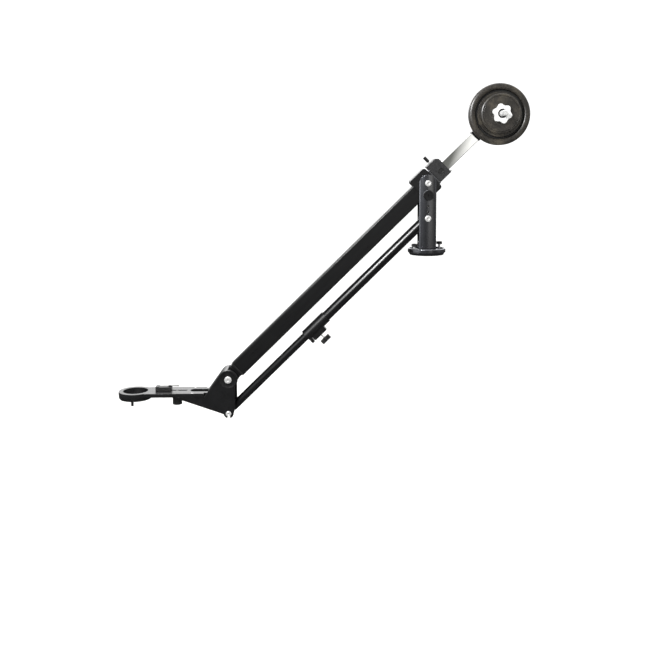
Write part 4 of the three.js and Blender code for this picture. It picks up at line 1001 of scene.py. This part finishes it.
def make_bracket():
    near = plate("y", cheek_outline(), -head_half, -head_gap_half, 1.6, rounds=3)
    far = plate("y", cheek_outline(), head_gap_half, head_half, 1.6, rounds=3)
    floor, inner, outer, web_end = gap + platform_top, boss - 6.5, boss - 0.15, 94
    across = 90 + math.degrees(slant)
    web = [
        (slant_x(floor, outer), floor),
        (slant_x(floor, inner), floor),
        *arc(0, 0, inner, across, web_end, 8),
        *arc(0, 0, outer, web_end, across, 8),
    ]
    bracket = fuse(near, far, plate("y", web, -cheek_middle, cheek_middle, 0.2))
    reach, notch_low, face = 45, -125, -head_half
    # A shallow dish round the head's pivot, on the near cheek
    dish = [
        (0, face - 2),
        (boss - 1.5, face - 2),
        (25.6, face + 0.1),
        (24.4, face + 1.4),
        (20, face + 2.4),
        (11.3, face + 2.6),
        (0, face + 2.6),
    ]
    cut(
        bracket,
        turned(dish, "y", 96),
        rod("y", boom_bolt + gap, -reach, reach),
        shift(rod("y", rod_bolt + gap, -reach, reach), z=-link_spacing),
        box((-rod_bolt - gap, rod_bolt + gap), (-reach, reach), (notch_low, -link_spacing)),
    )
    for side in (-cheek_middle, cheek_middle):
        cut(bracket, shift(rod("z", fine_screw + gap, -65.3, -50), platform_screw_x, side))
    hand_over(bracket, "head_bracket", "head", cast_black, head_place)


def opening(front, rear, radius, steps):
    """The outline of a long hole with round ends."""
    return [*arc(front, 0, radius, -90, 90, steps), *arc(rear, 0, radius, 90, 270, steps)]


def make_platform():
    reach, wide, disc = 289, 41, 51
    bowl_x = -reach
    shoulder_x = slant_x(platform_bottom, boss) - 2 * gap
    tongue, tongue_x = head_gap_half - gap, -42
    turn = math.degrees(math.asin(wide / disc))
    outline = [
        *arc(bowl_x, 0, disc, turn, 360 - turn, 60),
        (shoulder_x, -wide),
        (shoulder_x, -tongue),
        (tongue_x, -tongue),
        (tongue_x, tongue),
        (shoulder_x, tongue),
        (shoulder_x, wide),
    ]
    window = opening(-66, -105, 15, 12)
    slot = opening(-134, -186, 5, 8)
    platform = plate("z", outline, platform_bottom, platform_top, 0.8, [window, slot], rounds=3)
    low, groove, over = -64, -55.5, 3
    drum = [
        (0, platform_top - 2),
        (disc - 0.6, platform_top - 2.2),
        (disc - 0.6, groove),
        (disc - 1.8, groove),
        (disc - 1.8, groove - 2),
        (disc - 0.2, groove - 2),
        (disc - 0.9, low + 4),
        (disc - 2.4, low + 1.4),
        (disc - 3.5, low),
        (0, low),
    ]
    fuse(platform, shift(turned(drum, sides=112), bowl_x))
    bowl_radius, mouth, funnel_low = 37.5, 41.2, -70
    bowl = [
        (0, platform_top + over),
        (mouth, platform_top + over),
        (bowl_radius, platform_top - 0.7),
        (bowl_radius, platform_top - 4),
        (33.55, funnel_low),
        (0, funnel_low),
    ]
    cut(platform, shift(turned(bowl, sides=112), bowl_x))
    latch_hole = shift(rod("z", fine_screw + gap, low - over, platform_top + over), latch_screw_x)
    cut(platform, latch_hole, shift(rod("z", long_screw + gap, low - over, peg_top + gap), *peg_place))
    for side in (-cheek_middle, cheek_middle):
        shank = rod("z", fine_screw + gap, platform_bottom - over, platform_top + over)
        head = rod("z", 4.3, -43.7, platform_top + over)
        cut(platform, shift(shank, platform_screw_x, side), shift(head, platform_screw_x, side))
    hand_over(platform, "camera_platform", "head", cast_black, head_place)


def make_platform_screws():
    tip, seat, top, head = -65, -43.4, -41.3, 4
    for name, side in {"near": -cheek_middle, "far": cheek_middle}.items():
        screw = headed(fine_screw, head, tip, seat, top, (0.4, 0.3))
        cut(screw, plate("z", hexagon(1.6), top - 1.3, top + 1.3, 0))
        screw = shift(screw, platform_screw_x, side)
        hand_over(screw, f"platform_screw_{name}", "head", bright_zinc, head_place)


def make_ring_peg():
    low, seat, radius = -76.3, -64.3, 4
    peg = headed(long_screw, radius, peg_top, seat, low, (0.6, 0.6))
    hand_over(shift(peg, *peg_place), "ring_peg", "head", black_nylon, head_place)


def make_latch():
    floor, rear, front, half = gap + platform_top, -226, -177, 11
    low_step, ledge, low_top, ledge_top, rear_top = -188, -215, floor + 11.6, floor + 12.3, floor + 13.8
    outline = rounded(
        [
            (rear, floor),
            (front, floor),
            (front, low_top),
            (low_step, low_top),
            (low_step, ledge_top),
            (ledge, ledge_top),
            (ledge, rear_top),
            (rear, rear_top),
        ],
        [0.6, 0.6, 1.2, 0, 0.3, 0.4, 0.6, 1.5],
    )
    housing = plate("y", outline, -half, half, 1.0, rounds=3)
    cut(
        housing,
        shift(rod("z", 1.9, floor + 5, floor + 20), latch_pivot_x),
        shift(rod("z", fine_screw + gap, floor - 5, floor + 8.3), latch_screw_x),
        box((-212, -191), (-half - 1, -9.6), (floor + 3, floor + 8)),
    )
    hand_over(housing, "latch_housing", "head", black_nylon, head_place)
    low, seat, tip, head = -56.3, -53.3, floor + 8, 4
    screw = headed(fine_screw, head, tip, seat, low, (0.4, 0.4))
    hand_over(shift(screw, latch_screw_x), "latch_screw", "head", bright_zinc, head_place)


def make_latch_lever():
    floor, pin, cap, cap_height, arm_radius, arm_reach = gap + platform_top, 1.6, 5.2, 4, 1.5, 28.5
    seat, foot = floor + 11.9, floor + 5.9
    lever = headed(pin, cap, foot, seat, seat + cap_height, (1, 1), sides=40)
    fuse(lever, shift(rod("x", arm_radius, 0, arm_reach, 0.5, 24), z=seat + cap_height / 2))
    hand_over(shift(lever, latch_pivot_x), "latch_lever", "latch_arm", cast_black, head_place)


def make_camera_screw():
    place, washer_top, washer_bottom, knob_low = moved(head_place, camera_screw_x), -53.3, -54.8, -83.9
    washer = ring("z", 12, 5, washer_bottom, washer_top, 0.3)
    hand_over(washer, "camera_screw_washer", "camera_screw", bright_zinc, place)
    knob = plate("z", lobes(14.5, 16, 1.2, 6), knob_low, washer_bottom - gap, 1.2, rounds=3)
    fuse(knob, rod("z", 4.7, -56, platform_top - gap, 0.4))
    hand_over(knob, "camera_screw_knob", "camera_knob", black_nylon, place)


# Control rod

clamp_knob_x, clamp_stem = -479, 3
rod_outer_radius, rod_wall, rod_front = 15, 2, -505
rod_slide_radius = 12.5


def make_outer_rod():
    inner, rear, plug_end = rod_outer_radius - rod_wall, -18, -45
    tube = ring("x", rod_outer_radius, inner, rod_front, rear, 0.4, 64)
    cut(tube, shift(rod("z", clamp_stem + gap, -2 * rod_outer_radius, 0), clamp_knob_x))
    hand_over(tube, "rod_outer_tube", "rod_outer", gloss_black, rod_place)
    eye = rod("y", 16, -eye_half, eye_half, 0.8, 64)
    fuse(eye, rod("x", inner - gap, plug_end, 0))
    cut(eye, rod("y", rod_bolt + gap, -50, 50))
    hand_over(eye, "rod_rear_eye", "rod_outer", cast_black, rod_place)


def make_rod_clamp():
    front, rear, radius, low, over = -515, -429, 18, -30, 10
    block, block_half = (-503, -455), 11
    flange, flange_half = (front + 0.3, front + 9), 13.5
    sleeve = rod("x", radius, front, rear, 0.8, 72)
    fuse(
        sleeve,
        box(block, (-block_half, block_half), (low, 0), 1.6, 3),
        box(flange, (-flange_half, flange_half), (low, 0), 1.0, 3),
    )
    cut(
        sleeve,
        rod("x", rod_outer_radius + gap, rod_front - gap, rear + over, sides=64),
        rod("x", rod_slide_radius + gap, front - over, rear + over, sides=64),
        shift(rod("z", clamp_stem + gap, low - over, 0), clamp_knob_x),
    )
    hand_over(sleeve, "rod_clamp_sleeve", "rod_outer", cast_black, rod_place)

    knob_low, knob_top, stem_foot = -57, -43, -42.3
    x, y, waist_x, waist_y = 16, 7, 6, 4.5
    near = [(-x, -y), (-waist_x, -waist_y), (waist_x, -waist_y), (x, -y)]
    far = [(x, y), (waist_x, waist_y), (-waist_x, waist_y), (-x, y)]
    knob = plate("z", rounded(near + far, 2.2), knob_low, knob_top, 1.6, rounds=3)
    fuse(knob, turned([(0, -42), (5.5, -42), (6.5, -46), (6.5, -50), (0, -50)], sides=40))
    place = moved(rod_place, clamp_knob_x)
    hand_over(knob, "rod_clamp_knob", "rod_clamp", black_nylon, place)
    stem = rod("z", clamp_stem, stem_foot, -rod_slide_radius - gap, 0.2, 32)
    hand_over(stem, "rod_clamp_stem", "rod_clamp", bright_zinc, place, "")


def make_inner_rod():
    inner, front, rear, plug_end = rod_slide_radius - rod_wall, -832, -52, 38.5
    tube = ring("x", rod_slide_radius, inner, front, rear, 0.4, 64)
    hand_over(tube, "rod_inner_tube", "rod_inner", gloss_black, rod_place)
    eye = rod("y", 10.5, -head_eye_half, head_eye_half, 0.8, 64)
    fuse(eye, rod("x", inner - gap, 0, plug_end))
    cut(eye, rod("y", rod_bolt + gap, -50, 50))
    hand_over(eye, "rod_front_eye", "rod_inner", cast_black, moved(rod_place, -arm_length))


make_base()
make_turntable()
make_column()
make_column_screws()
make_pivot_bolts()
make_column_knobs()
make_pivot_block()
make_outer_arm()
make_boom_knobs()
make_weight_clamp()
make_weight_bar()
shaft_place = moved(boom_place, shaft_reach)
make_weight_shaft(shaft_place)
make_large_weight(shaft_place)
make_small_weight(shaft_place)
make_star_knob(shaft_place)
make_inner_arm()
make_bracket()
make_platform()
make_platform_screws()
make_ring_peg()
make_latch()
make_latch_lever()
make_camera_screw()
make_outer_rod()
make_rod_clamp()
make_inner_rod()


# Floor, light and camera

# The floor's height and width, in metres
floor_height, floor_width = -1.02, 60
choose()
bpy.ops.mesh.primitive_plane_add(size=floor_width, location=(0, 0, floor_height))
floor = bpy.context.object
floor.name = "floor"
pale_floor, *_ = surface("pale_floor", **{"Base Color": linear("#f4f4f2"), "Roughness": 0.9})
floor.data.materials.append(pale_floor)
floor.visible_glossy = False

world = bpy.data.worlds.new("soft_studio")
bpy.context.scene.world = world
world.use_nodes = True
tree = world.node_tree
tree.nodes.clear()
direction = add(tree, "ShaderNodeTexCoord").outputs["Generated"]
parts = add(tree, "ShaderNodeSeparateXYZ", inputs={"Vector": direction})
toward_camera = add(tree, "ShaderNodeMath", {"operation": "MULTIPLY"}, {0: parts.outputs["Y"], 1: -1.0})
bearing = add(
    tree,
    "ShaderNodeMath",
    {"operation": "ARCTAN2"},
    {0: parts.outputs["X"], 1: toward_camera.outputs["Value"]},
)
turns = add(
    tree,
    "ShaderNodeMapRange",
    inputs={
        "Value": bearing.outputs["Value"],
        "From Min": -math.pi,
        "From Max": math.pi,
        "To Min": 0.0,
        "To Max": 1.0,
    },
)
# Bearings are degrees from the camera's side, and positive towards the weights. Level is what stands
# round the part at its own height: dark flags, a white screen on its left and a pale one in front.
level_walls = [
    (-180, "#767777"),
    (-114, "#767777"),
    (-98, "#efefef"),
    (-54, "#e8eaec"),
    (-40, "#505357"),
    (-11, "#4c4f53"),
    (-8, "#303030"),
    (4, "#2d2d2d"),
    (8.4, "#434442"),
    (8.85, "#4e4c45"),
    (9.0, "#625d48"),
    (9.12, "#7e7a6c"),
    (9.25, "#949390"),
    (9.6, "#a8a8a6"),
    (25, "#a5a29a"),
    (30, "#3e3e3e"),
    (62, "#3e3e3e"),
    (70, "#8c8c8c"),
    (86, "#8c8c8c"),
    (100, "#4a4a4a"),
    (114, "#767777"),
    (180, "#767777"),
]
# Above is what hangs over it: a soft box behind, dark flags on its left, and a dim ceiling in front.
upper_walls = [
    (-180, "#e7e7e7"),
    (-166, "#e7e7e7"),
    (-152, "#3a3a3a"),
    (-75, "#3a3a3a"),
    (-58, "#6c6d6e"),
    (-30, "#5c5d5e"),
    (-10, "#4c4c4d"),
    (30, "#4c4c4d"),
    (60, "#8c8c8c"),
    (110, "#d0d0d0"),
    (180, "#e7e7e7"),
]


def wall_light(stops):
    """The light round the part for a list of bearings and hex colours."""
    return fade(tree, turns.outputs["Result"], [((degrees + 180) / 360, code) for degrees, code in stops])


def between(low, high, below, above):
    """Goes from one light to another as the sine of the elevation goes from low to high."""
    height = add(
        tree,
        "ShaderNodeMapRange",
        {"interpolation_type": "SMOOTHSTEP"},
        {"Value": parts.outputs["Z"], "From Min": low, "From Max": high, "To Min": 0.0, "To Max": 1.0},
    )
    mix = add(
        tree,
        "ShaderNodeMix",
        {"data_type": "RGBA"},
        {"Factor": height.outputs["Result"], "A": below, "B": above},
    )
    return mix.outputs[2]


# From the ground up: a dark ground, the level walls, the upper walls and a pale ceiling.
ground = linear("#2a2a2a")
ceiling = linear("#e0e0e0")
room = between(-0.1, -0.02, ground, wall_light(level_walls))
room = between(0.04, 0.12, room, wall_light(upper_walls))
room = between(0.72, 0.92, room, ceiling)
studio = add(tree, "ShaderNodeBackground", inputs={"Color": room, "Strength": 3.0})
backdrop = add(tree, "ShaderNodeBackground", inputs={"Color": (1, 1, 1, 1), "Strength": 1.2})
seen = add(tree, "ShaderNodeLightPath").outputs["Is Camera Ray"]
shown = add(
    tree,
    "ShaderNodeMixShader",
    inputs={0: seen, 1: studio.outputs["Background"], 2: backdrop.outputs["Background"]},
)
add(tree, "ShaderNodeOutputWorld", inputs={"Surface": shown.outputs["Shader"]})


def softbox(name, place, aim, size, power, roll=0.0):
    """A studio light at a place in metres, turned to face another, and rolled by an angle."""
    lamp = bpy.data.lights.new(name, "AREA")
    lamp.shape = "RECTANGLE"
    lamp.size, lamp.size_y = size
    lamp.energy = power
    stand = bpy.data.objects.new(name, lamp)
    bpy.context.scene.collection.objects.link(stand)
    stand.location = place
    facing = (Vector(aim) - Vector(place)).to_track_quat("-Z", "Y").to_matrix()
    stand.rotation_euler = (facing @ Matrix.Rotation(roll, 3, "Z")).to_euler()


# A long narrow light above the camera's left, which draws the streak along the control rod.
key_place = (-1.51, -2.4, 1.38)
key_aim = (-0.15, 0, 0)
key_size = (0.25, 1.6)
key_power = 115
key_roll = math.radians(53)
softbox("key", key_place, key_aim, key_size, key_power, key_roll)

camera_data = bpy.data.cameras.new("camera")
camera = bpy.data.objects.new("camera", camera_data)
bpy.context.scene.collection.objects.link(camera)
bpy.context.scene.camera = camera
image_pixels = 665
focal_pixels = 870
sensor_width = 36
frame_shift = -0.12
camera_place = (-0.3207, -2.6265, 0.2904)
camera_pitch, camera_yaw, camera_roll = 0.1075, 0.0132, -0.0052
camera_data.sensor_width = sensor_width
camera_data.lens = sensor_width * focal_pixels / image_pixels
camera_data.shift_y = frame_shift
camera_data.clip_start = 0.1
camera_data.clip_end = 100
camera.location = camera_place
camera.rotation_euler = (
    Matrix.Rotation(-camera_yaw, 3, "Z")
    @ Matrix.Rotation(math.pi / 2 - camera_pitch, 3, "X")
    @ Matrix.Rotation(camera_roll, 3, "Z")
).to_euler()
bpy.context.scene.view_settings.view_transform = "Standard"
